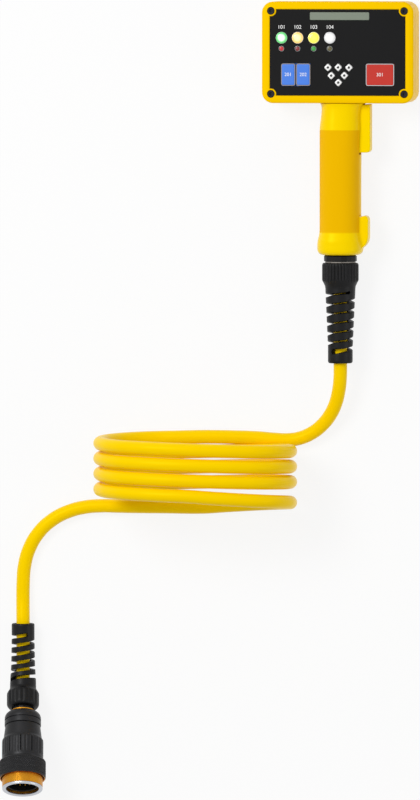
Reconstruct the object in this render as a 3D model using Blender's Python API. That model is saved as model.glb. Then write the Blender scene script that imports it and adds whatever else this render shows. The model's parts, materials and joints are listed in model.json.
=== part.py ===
"""Hoist remote control: a yellow pendant with a keypad head, a pistol grip with a trigger,
a spiral strain relief, a coiled lead and a circular multi-pin plug.

Metres, +Z up. The handset lies on its back. X runs across the head, Y along the grip towards the
head, and Z out of the keypad. The origin is at the middle of the handset's footprint.
"""
import math

import bmesh
import bpy
from mathutils import Matrix, Vector

# Fits
GAP = 0.0003
EDGE = 0.0008
PIN_FIT = 0.0001
SLIDE_FIT = 0.0004

# Head box
BOX_WIDTH = 0.1366
BOX_HEIGHT = 0.0908
BOX_DEPTH = 0.0440
BOX_CORNER = 0.0100
BOX_WALL = 0.0030
HOUSING_DEPTH = 0.0300
GASKET_THICK = 0.0012
GASKET_INSET = 0.0006
REAR_EDGE = 0.0018
FRONT_EDGE = 0.0012
FACE_PLATE = 0.0065
LEDGE_DEPTH = 0.0030
LEDGE_WIDTH = 0.0022

# Keypad panel
RIM_SIDE = 0.0072
RIM_TOP = 0.0068
PANEL_THICK = 0.0017
KEY_PROUD = 0.0011
KEY_TRAVEL = 0.0009
KEY_FLANGE = 0.0010
FLANGE_THICK = 0.0014
STEM_SIDE = 0.0040

# Display
DISPLAY_X = 0.0017
DISPLAY_SETBACK = 0.0061
DISPLAY_FLANK = 0.0344
DISPLAY_SHARE = 0.0894
DISPLAY_THICK = 0.0015
DISPLAY_ROUND = 0.0006
MODULE_OVERHANG = 0.0015

# Lamps
LAMP_MARGIN = 0.0106
LAMP_PITCH_SHARE = 0.1187
LAMP_ROW_SHARE = 0.1697
LAMP_FILL = 0.3517
LED_RADIUS = 0.0025
LED_CLEARANCE = 0.0021
LAMP_COLOURS = ("green", "amber", "yellow", "white")

# Large keys, as shares of the panel and margins from its edges
KEY_HEIGHT_SHARE = 0.2552
KEY_ROW_SHARE = 0.2565
KEY_WIDTH_SHARE = 0.1031
KEY_GAP = 0.0010
KEY_ROUND = 0.0010
KEY_CROWN_X = 0.93
KEY_CROWN_Y = 0.95
BLUE_KEY_MARGIN = 0.0235
RED_KEY_MARGIN = 0.0228
RED_KEY_SHARE = 0.2070

# Arrow keys: places about the key row's middle, in key widths and key heights
ARROW_SHARE = 0.3970
ARROW_DOT_SHARE = 0.2200
ARROW_ROUND = 0.0008
ARROW_GRID = (
    (-0.6825, 0.3299), (0.0476, 0.3350), (0.8175, 0.3249),
    (-0.4444, -0.0406), (0.4921, -0.0355), (0.0635, -0.3553),
)

# Cover screws
COVER_SCREW_INSET = 0.0083
COVER_BOSS = 0.0048
SCREW_HEAD = 0.0034
SCREW_HEAD_DEEP = 0.0038
SCREW_SHANK = 0.0020
SCREW_SUNK = 0.0009
HEX_SOCKET = 0.0017

# Circuit board
BOARD_MARGIN_X = 0.0071
BOARD_MARGIN_Y = 0.0056
BOARD_THICK = 0.0016
BOARD_ROUND = 0.0020
BOARD_Z = 0.0264
BOARD_POST = 0.0035
BOARD_SCREW_INSET = 0.0060
BOARD_SCREW_SHANK = 0.0014
BOARD_TAP = 0.0150
COVER_TAP = 0.0120
SWITCH_SHARE = 0.2800
SWITCH_TALL = 0.0035
HEADER_WIDE = 0.0120
HEADER_LONG = 0.0070
HEADER_TALL = 0.0100

# Grip: distance below the head, half width, half depth
GRIP_LENGTH = 0.1362
GRIP_WALL = 0.0030
GRIP_ROUNDNESS = 2.5
GRIP_TOP_WALL = 0.0080
GRIP_FLOOR = 0.0040
GRIP_END_ROUND = 0.0054
GRIP_HALF_WIDTH = 0.0184
GRIP_HALF_DEPTH = 0.0200
NECK_HALF_WIDTH = 0.0166
NECK_HALF_DEPTH = 0.0192
BULB_HALF_WIDTH = 0.0205
BULB_HALF_DEPTH = 0.0220
NECK_FLARE = 0.0240
NECK_TOP_INSET = 0.0008
NECK_TOP_LONG = 0.0020
NECK_EASE = 0.0002
BULB_LONG = 0.0212
BULB_FULL_LONG = 0.0097

# Trigger
TRIGGER_REACH = 0.0277
TRIGGER_INNER = 0.0130
TRIGGER_TOP = 0.0010
TRIGGER_BOTTOM = 0.0443
TRIGGER_HALF_DEPTH = 0.0077
TRIGGER_SWING = 0.0020
TRIGGER_CORNER = 0.0033
TRIGGER_EDGE = 0.0006
TRIGGER_PIVOT_X = 0.0120
TRIGGER_PIVOT_DROP = 0.0066
TRIGGER_HUB = 0.0048
TRIGGER_PIN = 0.0020
TRIGGER_PIN_HALF = 0.0112
PIN_STEPS = 20
PIN_BOSS = 0.0045
SPRING_DROP = 0.0365
SPRING_RADIUS = 0.0026
SPRING_WIRE = 0.00045
SPRING_TURNS = 4
SPRING_RIB_X = -0.0015
SPRING_RIB_THICK = 0.0030
SPRING_RIB_HALF = 0.0050

# Trigger switch
TRIGGER_SWITCH_TALL = 0.0114
TRIGGER_SWITCH_LONG = 0.0170
TRIGGER_SWITCH_WIDE = 0.0064
TRIGGER_SWITCH_DROP = 0.0220
TRIGGER_BUTTON = 0.0014

# Finger stop below the trigger
LUG_REACH = 0.0260
LUG_TOP_RISE = 0.0354
LUG_HEEL_RISE = 0.0167
LUG_BOTTOM_RISE = 0.0056
LUG_HALF_DEPTH = 0.0080
LUG_TIP_ROUND = 0.0036
LUG_SADDLE_ROUND = 0.0028
LUG_EDGE = 0.0012
LUG_SADDLE_BACK = 0.0038
LUG_SADDLE_RISE = 0.0015
LUG_HEEL_X = 0.0165

# Grip screws and mount screws
GRIP_SCREW_X = 0.0030
GRIP_SCREW_DROP = 0.0600
GRIP_SCREW_RISE = 0.0382
GRIP_SCREW_BOSS = 0.0040
GRIP_SCREW_SHANK = 0.0015
GRIP_SCREW_HEAD = 0.0031
GRIP_SCREW_HEAD_DEEP = 0.0026
GRIP_SCREW_SUNK = 0.0035
GRIP_SCREW_TIP_Z = 0.0330
MOUNT_SCREW_PLACES = ((-0.0100, 0.0256), (-0.0090, 0.0090), (0.0090, 0.0090))
MOUNT_SCREW_SHANK = 0.0017
MOUNT_SCREW_HEAD = 0.0032
MOUNT_SCREW_HEAD_DEEP = 0.0026
MOUNT_SCREW_LONG = 0.0105
THROAT_X = -0.0030
THROAT_Z = 0.0160
THROAT_RADIUS = 0.0060

# Lead
CORD_RADIUS = 0.0061
LOOM_RADIUS = 0.0035

# Upper gland, as distances below the grip
GLAND_COLLAR = 0.0148
GLAND_COLLAR_LONG = 0.0053
GLAND_WASHER = 0.0138
GLAND_WASHER_LONG = 0.0010
GLAND_NUT = 0.0164
GLAND_NUT_LONG = 0.0168
GLAND_GROOVES = 16
GROOVE_WIDTH = 0.0018
GROOVE_DEEP = 0.0007
GLAND_TAPER_LONG = 0.0057
GLAND_THROAT = 0.0134
GLAND_THROAT_LONG = 0.0058
GLAND_SPIGOT = 0.0100
GLAND_SPIGOT_LONG = 0.0140
GLAND_THREAD = 0.0120
GLAND_THREAD_BACK = 0.0020
GLAND_LOCKNUT = 0.0145
GLAND_LOCKNUT_LONG = 0.0050

# Spiral strain reliefs
SPIRAL_BORE = 0.0073
UPPER_SPIRAL_LONG = 0.0480
UPPER_SPIRAL_TURNS = 5.5
UPPER_SPIRAL_BAR = 0.0064
UPPER_SPIRAL_END = 0.0111
UPPER_RING_LONG = 0.0135
LOWER_SPIRAL_LONG = 0.0405
LOWER_SPIRAL_TURNS = 5.0
LOWER_SPIRAL_BAR = 0.0048
LOWER_SPIRAL_END = 0.0103
LOWER_RING_LONG = 0.0120
LOWER_COLLAR = 0.0120
LOWER_COLLAR_LONG = 0.0110
SPIRAL_STEPS = 11

# Plug, as distances from the back of its gland nut
PLUG_X = -0.2890
PLUG_Y = -0.4620
PLUG_TILT = math.radians(25.0)
PLUG_TURN = math.radians(3.8)
PLUG_BEND = 0.0650
RELIEF_Z = 0.0107
LEAD_IN_PLUG = 0.0120
LEAD_SLACK = 0.0001
PLUG_NUT = 0.0145
PLUG_NUT_LONG = 0.0148
PLUG_NUT_GROOVES = 12
PLUG_THREAD_LONG = 0.0103
PLUG_NECK = 0.0094
PLUG_NECK_END = 0.0172
PLUG_SPIGOT = 0.0080
PLUG_SPIGOT_LONG = 0.0070
PLUG_SEAL_SEAT = 0.0020
PLUG_SEAL_WALL = 0.0009
PLUG_WASHER = 0.0105
PLUG_WASHER_LONG = 0.0010
BACKSHELL = 0.0164
BACKSHELL_GROOVE = 0.0083
BACKSHELL_END = 0.0322
SHELL_REAR = 0.0158
SHELL_WAIST = 0.0172
SHELL_WAIST_END = 0.0440
SHELL_FLUTED = 0.0186
SHELL_END = 0.0655
SHELL_WALL = 0.0026
SHELL_FLUTES = 16
SHELL_FLARE = 0.0030
COUPLING = 0.0211
COUPLING_END = 0.0826
COUPLING_WALL = 0.0018
COUPLING_LIP = 0.0010
COUPLING_LIP_LONG = 0.0030
BARREL = 0.0182
BARREL_WALL = 0.0034
BARREL_END = 0.0910
RIM_LONG = 0.0018
INSERT_FACE = 0.0800
INSERT_LONG = 0.0120
PIN_TIP = 0.0855
PIN_RADIUS = 0.0008
PIN_SPACING = 0.0045
ROUND_STEPS = 18
PLUG_STEPS = 22

# Coil of lead, standing on the floor with its axis along Y
COIL_X = -0.1265
COIL_FIRST_Y = -0.2299
COIL_LAST_Y = -0.2932
COIL_FLAT = 0.0700
COIL_END_ROUND = 0.0505
COIL_CROWN_ROUND = 0.1500

# Routes of the free lead, as hand-chosen points on its centre line
UPPER_ROUTE = (
    (-0.0004, -0.1760, 0.0216), (-0.0022, -0.1860, 0.0195), (-0.0058, -0.1965, 0.0163),
    (-0.0112, -0.2060, 0.0129), (-0.0186, -0.2146, 0.0101), (-0.0282, -0.2218, 0.0080),
    (-0.0395, -0.2270, 0.0066), (-0.0500, -0.2294, 0.0062), (-0.0569, -0.2299, 0.0062),
)
LOWER_ROUTE = (
    (-0.1961, -0.2932, 0.0062), (-0.2040, -0.2930, 0.0062), (-0.2190, -0.2929, 0.0062),
    (-0.2345, -0.2943, 0.0062),
    (-0.2505, -0.2988, 0.0062), (-0.2650, -0.3068, 0.0062), (-0.2768, -0.3183, 0.0062),
    (-0.2850, -0.3325, 0.0062), (-0.2893, -0.3480, 0.0062), (-0.2905, -0.3640, 0.0062),
    (-0.2906, -0.3790, 0.0068),
)
ROUTE_STEP = 0.0240
LOOM_LOW_ROUTE = (
    (-0.0006, 0.0182, 0.0), (-0.0036, 0.0252, 0.0), (-0.0070, 0.0327, -0.0010), (-0.0088, 0.0462, -0.0020),
)
LOOM_HIGH_ROUTE = (
    (-0.0085, 0.0500, -0.0030), (-0.0080, 0.0250, -0.0045), (-0.0045, 0.0090, -0.0060),
    (-0.0030, -0.0020, -0.0058), (-0.0030, -0.0110, -0.0045), (-0.0030, -0.0180, -0.0042),
)

# Places that follow from the sizes above
PANEL_WIDTH = BOX_WIDTH - 2 * RIM_SIDE
PANEL_HEIGHT = BOX_HEIGHT - 2 * RIM_TOP
DISPLAY_Y = PANEL_HEIGHT / 2 - DISPLAY_SETBACK
DISPLAY_WIDTH = PANEL_WIDTH - 2 * DISPLAY_FLANK
DISPLAY_HEIGHT = DISPLAY_SHARE * PANEL_HEIGHT
LAMP_FIRST_X = LAMP_MARGIN - PANEL_WIDTH / 2
LAMP_PITCH = LAMP_PITCH_SHARE * PANEL_WIDTH
LAMP_RADIUS = LAMP_FILL * LAMP_PITCH
LAMP_Y = LAMP_ROW_SHARE * PANEL_HEIGHT
LED_Y = LAMP_Y - LAMP_RADIUS - LED_RADIUS - LED_CLEARANCE
KEY_HEIGHT = KEY_HEIGHT_SHARE * PANEL_HEIGHT
KEY_WIDTH = KEY_WIDTH_SHARE * PANEL_WIDTH
KEY_ROW_Y = -KEY_ROW_SHARE * PANEL_HEIGHT
BLUE_KEY_X = BLUE_KEY_MARGIN - PANEL_WIDTH / 2
RED_KEY_X = PANEL_WIDTH / 2 - RED_KEY_MARGIN
RED_KEY_WIDTH = RED_KEY_SHARE * PANEL_WIDTH
ARROW_SIDE = ARROW_SHARE * KEY_WIDTH
ARROW_DOT = ARROW_DOT_SHARE * ARROW_SIDE
COVER_SCREW_X = BOX_WIDTH / 2 - COVER_SCREW_INSET
COVER_SCREW_Y = BOX_HEIGHT / 2 - COVER_SCREW_INSET
BOARD_WIDTH = PANEL_WIDTH - 2 * BOARD_MARGIN_X
BOARD_HEIGHT = PANEL_HEIGHT - 2 * BOARD_MARGIN_Y
SWITCH_SIDE = SWITCH_SHARE * KEY_HEIGHT
BOARD_SCREW_X = BOARD_WIDTH / 2 - BOARD_SCREW_INSET
BOARD_SCREW_Y = BOARD_HEIGHT / 2 - BOARD_SCREW_INSET
GRIP_AXIS_Z = BULB_HALF_DEPTH
BULB_START = GRIP_LENGTH - BULB_LONG
BULB_FULL = GRIP_LENGTH - BULB_FULL_LONG
LUG_TOP = GRIP_LENGTH - LUG_TOP_RISE
LUG_HEEL = GRIP_LENGTH - LUG_HEEL_RISE
LUG_BOTTOM = GRIP_LENGTH - LUG_BOTTOM_RISE
GRIP_SCREW_DROPS = (GRIP_SCREW_DROP, GRIP_LENGTH - GRIP_SCREW_RISE)
GLAND_NUT_START = GLAND_COLLAR_LONG + GLAND_WASHER_LONG + 3 * GAP
GLAND_THROAT_END = GLAND_NUT_START + GLAND_NUT_LONG + GLAND_TAPER_LONG + GLAND_THROAT_LONG
GLAND_REACH = GLAND_THROAT_END + UPPER_SPIRAL_LONG + UPPER_RING_LONG
HANDSET_LENGTH = BOX_HEIGHT + GRIP_LENGTH + GLAND_REACH
BOX_TOP = HANDSET_LENGTH / 2
BOX_MIDDLE = BOX_TOP - BOX_HEIGHT / 2
BOX_BOTTOM = BOX_TOP - BOX_HEIGHT
GRIP_BOTTOM = BOX_BOTTOM - GRIP_LENGTH
BEZEL_Z = HOUSING_DEPTH + GASKET_THICK + 2 * GAP
LEDGE_Z = BOX_DEPTH - LEDGE_DEPTH
PANEL_Z = LEDGE_Z + GAP
PANEL_FACE = PANEL_Z + PANEL_THICK
BOARD_TOP = BOARD_Z + BOARD_THICK
AXIS_MARK = 0.01
CREASE_ANGLE = math.radians(35.0)


def clear_scene():
    """Remove what the file holds at the start."""
    for thing in list(bpy.data.objects):
        bpy.data.objects.remove(thing, do_unlink=True)
    for mesh in list(bpy.data.meshes):
        bpy.data.meshes.remove(mesh)


def finish(name, colour, roughness, metallic=0.0):
    """A Principled material of one colour."""
    material = bpy.data.materials.new(name)
    material.use_nodes = True
    shader = material.node_tree.nodes["Principled BSDF"]
    shader.inputs["Base Color"].default_value = (*colour, 1.0)
    shader.inputs["Roughness"].default_value = roughness
    shader.inputs["Metallic"].default_value = metallic
    material.diffuse_color = (*colour, 1.0)
    return material


def place(name, mesh, material, location=(0.0, 0.0, 0.0), parent=None):
    """Link a mesh as a named object."""
    thing = bpy.data.objects.new(name, mesh)
    bpy.context.collection.objects.link(thing)
    thing.location = location
    thing.parent = parent
    if material:
        mesh.materials.append(material)
    mesh.shade_smooth()
    return thing


def crease_group():
    """A node group that keeps the edges between steep faces sharp."""
    tree = bpy.data.node_groups.new("sharp_edges", "GeometryNodeTree")
    tree.is_modifier = True
    tree.interface.new_socket("Geometry", in_out="INPUT", socket_type="NodeSocketGeometry")
    tree.interface.new_socket("Geometry", in_out="OUTPUT", socket_type="NodeSocketGeometry")
    start = tree.nodes.new("NodeGroupInput")
    end = tree.nodes.new("NodeGroupOutput")
    angle = tree.nodes.new("GeometryNodeInputMeshEdgeAngle")
    gentle = tree.nodes.new("FunctionNodeCompare")
    gentle.data_type = "FLOAT"
    gentle.operation = "LESS_THAN"
    gentle.inputs["B"].default_value = CREASE_ANGLE
    shade = tree.nodes.new("GeometryNodeSetShadeSmooth")
    shade.domain = "EDGE"
    tree.links.new(angle.outputs["Unsigned Angle"], gentle.inputs["A"])
    tree.links.new(start.outputs["Geometry"], shade.inputs["Geometry"])
    tree.links.new(gentle.outputs["Result"], shade.inputs["Shade Smooth"])
    tree.links.new(shade.outputs["Geometry"], end.inputs["Geometry"])
    return tree


def crease_all():
    """Round faces stay smooth and flat ones flat, on every shown piece and after its Booleans."""
    tree = crease_group()
    for thing in bpy.data.objects:
        if thing.type == "MESH" and not thing.hide_render:
            thing.modifiers.new("sharp edges", "NODES").node_group = tree


def tool(thing):
    """Keep an object as a cutter or a joined shape, out of the model."""
    thing.hide_render = True
    thing.display_type = "WIRE"
    return thing


def combine(target, other, operation):
    """Add a live Boolean of another object, which becomes a hidden tool."""
    modifier = target.modifiers.new(operation.lower(), "BOOLEAN")
    modifier.operation = operation
    modifier.solver = "EXACT"
    modifier.object = tool(other)
    return target


def cut(target, *others):
    """Cut objects out of another."""
    for other in others:
        combine(target, other, "DIFFERENCE")
    return target


def join(target, *others):
    """Join objects to another."""
    for other in others:
        combine(target, other, "UNION")
    return target


def mesh_from(bm, name):
    """Turn a bmesh into a mesh with its faces pointing out."""
    bmesh.ops.recalc_face_normals(bm, faces=bm.faces)
    mesh = bpy.data.meshes.new(name)
    bm.to_mesh(mesh)
    bm.free()
    return mesh


def bridge(bm, lower, upper):
    """Quads between two rings of the same number of vertices."""
    count = len(lower)
    for index in range(count):
        after = (index + 1) % count
        bm.faces.new((lower[index], lower[after], upper[after], upper[index]))


def loft(name, rings, closed=False):
    """Skin a list of point rings, capped at both ends, or closed on itself like a tube's wall."""
    bm = bmesh.new()
    loops = [[bm.verts.new(point) for point in ring] for ring in rings]
    for lower, upper in zip(loops, loops[1:]):
        bridge(bm, lower, upper)
    if closed:
        bridge(bm, loops[-1], loops[0])
    else:
        bm.faces.new(loops[0])
        bm.faces.new(loops[-1])
    return mesh_from(bm, name)


def arc(centre_x, centre_y, radius, start, end, steps):
    """Points on a circle's arc, with the angles in degrees."""
    points = []
    for step in range(steps + 1):
        angle = math.radians(start + (end - start) * step / steps)
        points.append((centre_x + radius * math.cos(angle), centre_y + radius * math.sin(angle)))
    return points


def circle(radius, steps, phase=0.0):
    """Points round a circle."""
    turns = [phase + 2 * math.pi * step / steps for step in range(steps)]
    return [(radius * math.cos(turn), radius * math.sin(turn)) for turn in turns]


def rounded(width, height, radius, steps=4):
    """Outline of a rectangle with round corners, anticlockwise from its right side."""
    reach_x = width / 2 - radius
    reach_y = height / 2 - radius
    outline = []
    for corner, (side_x, side_y) in enumerate(((1, 1), (-1, 1), (-1, -1), (1, -1))):
        start = 90.0 * corner
        outline += arc(side_x * reach_x, side_y * reach_y, radius, start, start + 90.0, steps)
    return outline


def notched(width, height, notch, steps=5):
    """Outline of a rectangle whose corners are bitten off round the cover screws' bosses."""
    offset_x = width / 2 - COVER_SCREW_X
    offset_y = height / 2 - COVER_SCREW_Y
    low = math.degrees(math.atan2(-math.sqrt(notch ** 2 - offset_x ** 2), offset_x))
    high = math.degrees(math.atan2(offset_y, -math.sqrt(notch ** 2 - offset_y ** 2)))
    bite = arc(COVER_SCREW_X, COVER_SCREW_Y, notch, low, high % 360.0 - 360.0, steps)
    outline = list(bite)
    outline += [(-x, y) for x, y in reversed(bite)]
    outline += [(-x, -y) for x, y in bite]
    outline += [(x, -y) for x, y in reversed(bite)]
    return outline


def raised(outline, z):
    """An outline at a height."""
    return [(x, y, z) for x, y in outline]


def prism(name, outline, low, high):
    """A straight extrusion of an outline."""
    return loft(name, [raised(outline, low), raised(outline, high)])


def block(name, low, high):
    """A box between two corners."""
    outline = ((low[0], low[1]), (high[0], low[1]), (high[0], high[1]), (low[0], high[1]))
    return prism(name, outline, low[2], high[2])


def turned(name, profile, steps=ROUND_STEPS):
    """Spin a profile of (radius, height) about Z; one that starts and ends on the axis is solid."""
    bm = bmesh.new()
    verts = [bm.verts.new((radius, 0.0, height)) for radius, height in profile]
    solid = profile[0][0] == 0.0 and profile[-1][0] == 0.0
    pairs = list(zip(verts, verts[1:]))
    if not solid:
        pairs.append((verts[-1], verts[0]))
    edges = [bm.edges.new(pair) for pair in pairs]
    bmesh.ops.spin(
        bm, geom=verts + edges, cent=(0, 0, 0), axis=(0, 0, 1), dvec=(0, 0, 0),
        angle=2 * math.pi, steps=steps, use_merge=True, use_duplicate=False,
    )
    bmesh.ops.remove_doubles(bm, verts=bm.verts, dist=1e-7)
    return mesh_from(bm, name)


def ring_profile(inner, outer, low, high, edge=0.0):
    """Profile of a plain ring, with its outer edges broken when an edge size is given."""
    if not edge:
        return [(outer, high), (outer, low), (inner, low), (inner, high)]
    return [
        (outer - edge, high), (outer, high - edge), (outer, low + edge), (outer - edge, low),
        (inner, low), (inner, high),
    ]


def merged(name, meshes_at):
    """One mesh from copies of meshes at given matrices, as separate solids."""
    bm = bmesh.new()
    for mesh, matrix in meshes_at:
        before = len(bm.verts)
        bm.from_mesh(mesh)
        bm.verts.ensure_lookup_table()
        bmesh.ops.transform(bm, matrix=matrix, verts=bm.verts[before:])
    mesh = bpy.data.meshes.new(name)
    bm.to_mesh(mesh)
    bm.free()
    return mesh


def scattered(name, mesh, places):
    """One mesh from copies of a mesh at several places."""
    return merged(name, [(mesh, Matrix.Translation(spot)) for spot in places])


def groove(target, radius, deep, width, count, low, high, parent):
    """Cut straight grooves along Z into the outside of a round piece."""
    bar = block("groove", (radius - deep, -width / 2, low), (radius + deep, width / 2, high))
    bars = merged(target.name + "_grooves", [
        (bar, Matrix.Rotation(2 * math.pi * number / count, 4, "Z")) for number in range(count)])
    cut(target, place(target.name + "_grooves", bars, None, parent=parent))


def smooth_line(points, spacing):
    """Even points along a smooth curve through a list of points."""
    knots = [Vector(point) for point in points]
    padded = [2 * knots[0] - knots[1], *knots, 2 * knots[-1] - knots[-2]]
    fine = []
    for before, start, end, after in zip(padded, padded[1:], padded[2:], padded[3:]):
        for step in range(12):
            share = step / 12
            pull = (end - before) * 0.5
            push = (after - start) * 0.5
            square = share * share
            cube = square * share
            fine.append(
                start * (2 * cube - 3 * square + 1) + pull * (cube - 2 * square + share)
                + end * (3 * square - 2 * cube) + push * (cube - square)
            )
    fine.append(knots[-1])
    lengths = [0.0]
    for first, second in zip(fine, fine[1:]):
        lengths.append(lengths[-1] + (second - first).length)
    count = max(2, round(lengths[-1] / spacing))
    even = []
    index = 0
    for step in range(count + 1):
        goal = lengths[-1] * step / count
        while index < len(fine) - 2 and lengths[index + 1] < goal:
            index += 1
        span = lengths[index + 1] - lengths[index]
        even.append(fine[index].lerp(fine[index + 1], (goal - lengths[index]) / span))
    return even


def tube(name, points, radius, material, parent=None, resolution=2):
    """A round tube along points, as a bevelled curve with closed ends."""
    curve = bpy.data.curves.new(name, "CURVE")
    curve.dimensions = "3D"
    curve.bevel_depth = radius
    curve.bevel_resolution = resolution
    curve.use_fill_caps = True
    spline = curve.splines.new("POLY")
    spline.points.add(len(points) - 1)
    for point, place_at in zip(spline.points, points):
        point.co = (*place_at, 1.0)
    curve.materials.append(material)
    thing = bpy.data.objects.new(name, curve)
    bpy.context.collection.objects.link(thing)
    thing.parent = parent
    return thing


def empty(name, location, matrix=None):
    """A parent that carries an axis."""
    thing = bpy.data.objects.new(name, None)
    bpy.context.collection.objects.link(thing)
    thing.empty_display_size = AXIS_MARK
    if matrix:
        thing.matrix_world = Matrix.Translation(location) @ matrix
    else:
        thing.location = location
    bpy.context.view_layer.update()
    return thing


def box_outline(inset=0.0, steps=4):
    """The head's outline about its own middle, drawn in by an inset."""
    return rounded(BOX_WIDTH - 2 * inset, BOX_HEIGHT - 2 * inset, BOX_CORNER - inset, steps)


def corner_places(reach_x, reach_y, z=0.0):
    """Four places about the head's middle."""
    return [(side_x * reach_x, side_y * reach_y, z) for side_x in (-1, 1) for side_y in (-1, 1)]


def board_screw_places(z=0.0):
    """Two opposite corners of the board are screwed down."""
    return [(-BOARD_SCREW_X, BOARD_SCREW_Y, z), (BOARD_SCREW_X, -BOARD_SCREW_Y, z)]


def board_pin_places(z=0.0):
    """The other two corners sit on locating pins."""
    return [(BOARD_SCREW_X, BOARD_SCREW_Y, z), (-BOARD_SCREW_X, -BOARD_SCREW_Y, z)]


def lamp_places(row_y):
    """Places of a row of lamps, left to right."""
    return [(LAMP_FIRST_X + LAMP_PITCH * index, row_y) for index in range(len(LAMP_COLOURS))]


def arrow_places():
    """Places of the arrow keys on the panel."""
    return [(across * KEY_WIDTH, KEY_ROW_Y + up * KEY_HEIGHT) for across, up in ARROW_GRID]


def make_head(paint, rubber, black, head):
    """Rear housing, gasket and front bezel, which the four cover screws clamp together."""
    inner = BOX_CORNER - BOX_WALL
    inner_outline = rounded(BOX_WIDTH - 2 * BOX_WALL, BOX_HEIGHT - 2 * BOX_WALL, inner)
    deep = 2 * BOX_WALL
    housing = place("rear_housing", loft("rear_housing", [
        raised(box_outline(REAR_EDGE), 0.0),
        raised(box_outline(REAR_EDGE / 3), REAR_EDGE / 3),
        raised(box_outline(), REAR_EDGE),
        raised(box_outline(), HOUSING_DEPTH),
    ]), paint, parent=head)
    hollow = place("housing_hollow", prism("housing_hollow", inner_outline, BOX_WALL, BOX_DEPTH), None,
                   parent=head)
    posts = scattered("posts", turned("post", [
        (0.0, BOARD_Z - GAP), (BOARD_POST, BOARD_Z - GAP), (BOARD_POST, 0.0), (0.0, 0.0)], 12),
        corner_places(BOARD_SCREW_X, BOARD_SCREW_Y))
    bosses = scattered("bosses", turned("boss", [
        (0.0, 2 * BOX_DEPTH), (COVER_BOSS, 2 * BOX_DEPTH), (COVER_BOSS, -BOX_DEPTH), (0.0, -BOX_DEPTH)], 12),
        corner_places(COVER_SCREW_X, COVER_SCREW_Y))
    cut(hollow, place("housing_posts", posts, None, parent=head))
    cut(hollow, place("housing_bosses", bosses, None, parent=head))
    cut(housing, hollow)
    cut(housing, place("cover_taps", scattered("cover_taps", turned("tap", [
        (0.0, BOX_DEPTH), (SCREW_SHANK + GAP, BOX_DEPTH), (SCREW_SHANK + GAP, COVER_TAP),
        (0.0, COVER_TAP)], 12), corner_places(COVER_SCREW_X, COVER_SCREW_Y)), None, parent=head))
    cut(housing, place("board_taps", scattered("board_taps", turned("board_tap", [
        (0.0, BOX_DEPTH), (BOARD_SCREW_SHANK + GAP, BOX_DEPTH), (BOARD_SCREW_SHANK + GAP, BOARD_TAP),
        (0.0, BOARD_TAP)], 10), board_screw_places()), None, parent=head))
    spike = turned("locating_pin", [
        (0.0, BOARD_TOP + BOARD_THICK), (BOARD_SCREW_SHANK, BOARD_TOP), (BOARD_SCREW_SHANK, BOARD_TAP),
        (0.0, BOARD_TAP)], 10)
    join(housing, place("locating_pins", scattered("locating_pins", spike, board_pin_places()), None,
                        parent=head))
    lower_wall = empty("lower_wall", (0.0, BOX_BOTTOM + BOX_WALL / 2, 0.0),
                       Matrix.Rotation(math.pi / 2, 4, "X"))
    openings = [(turned("throat", [
        (0.0, deep), (THROAT_RADIUS, deep), (THROAT_RADIUS, -deep), (0.0, -deep)], 12),
        Matrix.Translation((THROAT_X, THROAT_Z, 0.0)))]
    shank = MOUNT_SCREW_SHANK + GAP
    hole = turned("mount_hole", [(0.0, deep), (shank, deep), (shank, -deep), (0.0, -deep)], 10)
    openings += [(hole, Matrix.Translation((x, z, 0.0))) for x, z in MOUNT_SCREW_PLACES]
    cut(housing, place("wall_openings", merged("wall_openings", openings), None, parent=lower_wall))

    gasket_out = box_outline(GASKET_INSET)
    gasket_in = rounded(BOX_WIDTH - 2 * BOX_WALL, BOX_HEIGHT - 2 * BOX_WALL, inner)
    low = HOUSING_DEPTH + GAP
    high = low + GASKET_THICK
    place("housing_gasket", loft("housing_gasket", [
        raised(gasket_out, low), raised(gasket_out, high), raised(gasket_in, high), raised(gasket_in, low),
    ], closed=True), rubber, parent=head)

    bezel = place("front_bezel", loft("front_bezel", [
        raised(box_outline(), BEZEL_Z),
        raised(box_outline(), BOX_DEPTH - FRONT_EDGE),
        raised(box_outline(FRONT_EDGE / 3), BOX_DEPTH - FRONT_EDGE / 3),
        raised(box_outline(FRONT_EDGE), BOX_DEPTH),
    ]), paint, parent=head)
    cavity = place("bezel_hollow", prism(
        "bezel_hollow", inner_outline, HOUSING_DEPTH, BOX_DEPTH - FACE_PLATE), None, parent=head)
    cut(cavity, place("bezel_bosses", bosses.copy(), None, parent=head))
    pocket = notched(PANEL_WIDTH, PANEL_HEIGHT, COVER_BOSS)
    window = notched(PANEL_WIDTH - 2 * LEDGE_WIDTH, PANEL_HEIGHT - 2 * LEDGE_WIDTH, COVER_BOSS + GAP)
    cut(bezel, cavity)
    cut(bezel, place("panel_pocket", prism("panel_pocket", pocket, LEDGE_Z, 2 * BOX_DEPTH), None, parent=head))
    cut(bezel, place("panel_window", prism("panel_window", window, HOUSING_DEPTH, 2 * BOX_DEPTH), None,
                     parent=head))
    head_floor = BOX_DEPTH - SCREW_SUNK - SCREW_HEAD_DEEP - GAP
    cut(bezel, place("screw_wells", scattered("screw_wells", turned("well", [
        (0.0, 2 * BOX_DEPTH), (SCREW_HEAD + GAP, 2 * BOX_DEPTH), (SCREW_HEAD + GAP, head_floor),
        (SCREW_SHANK + GAP, head_floor), (SCREW_SHANK + GAP, 0.0), (0.0, 0.0)], 12),
        corner_places(COVER_SCREW_X, COVER_SCREW_Y)), None, parent=head))

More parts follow.
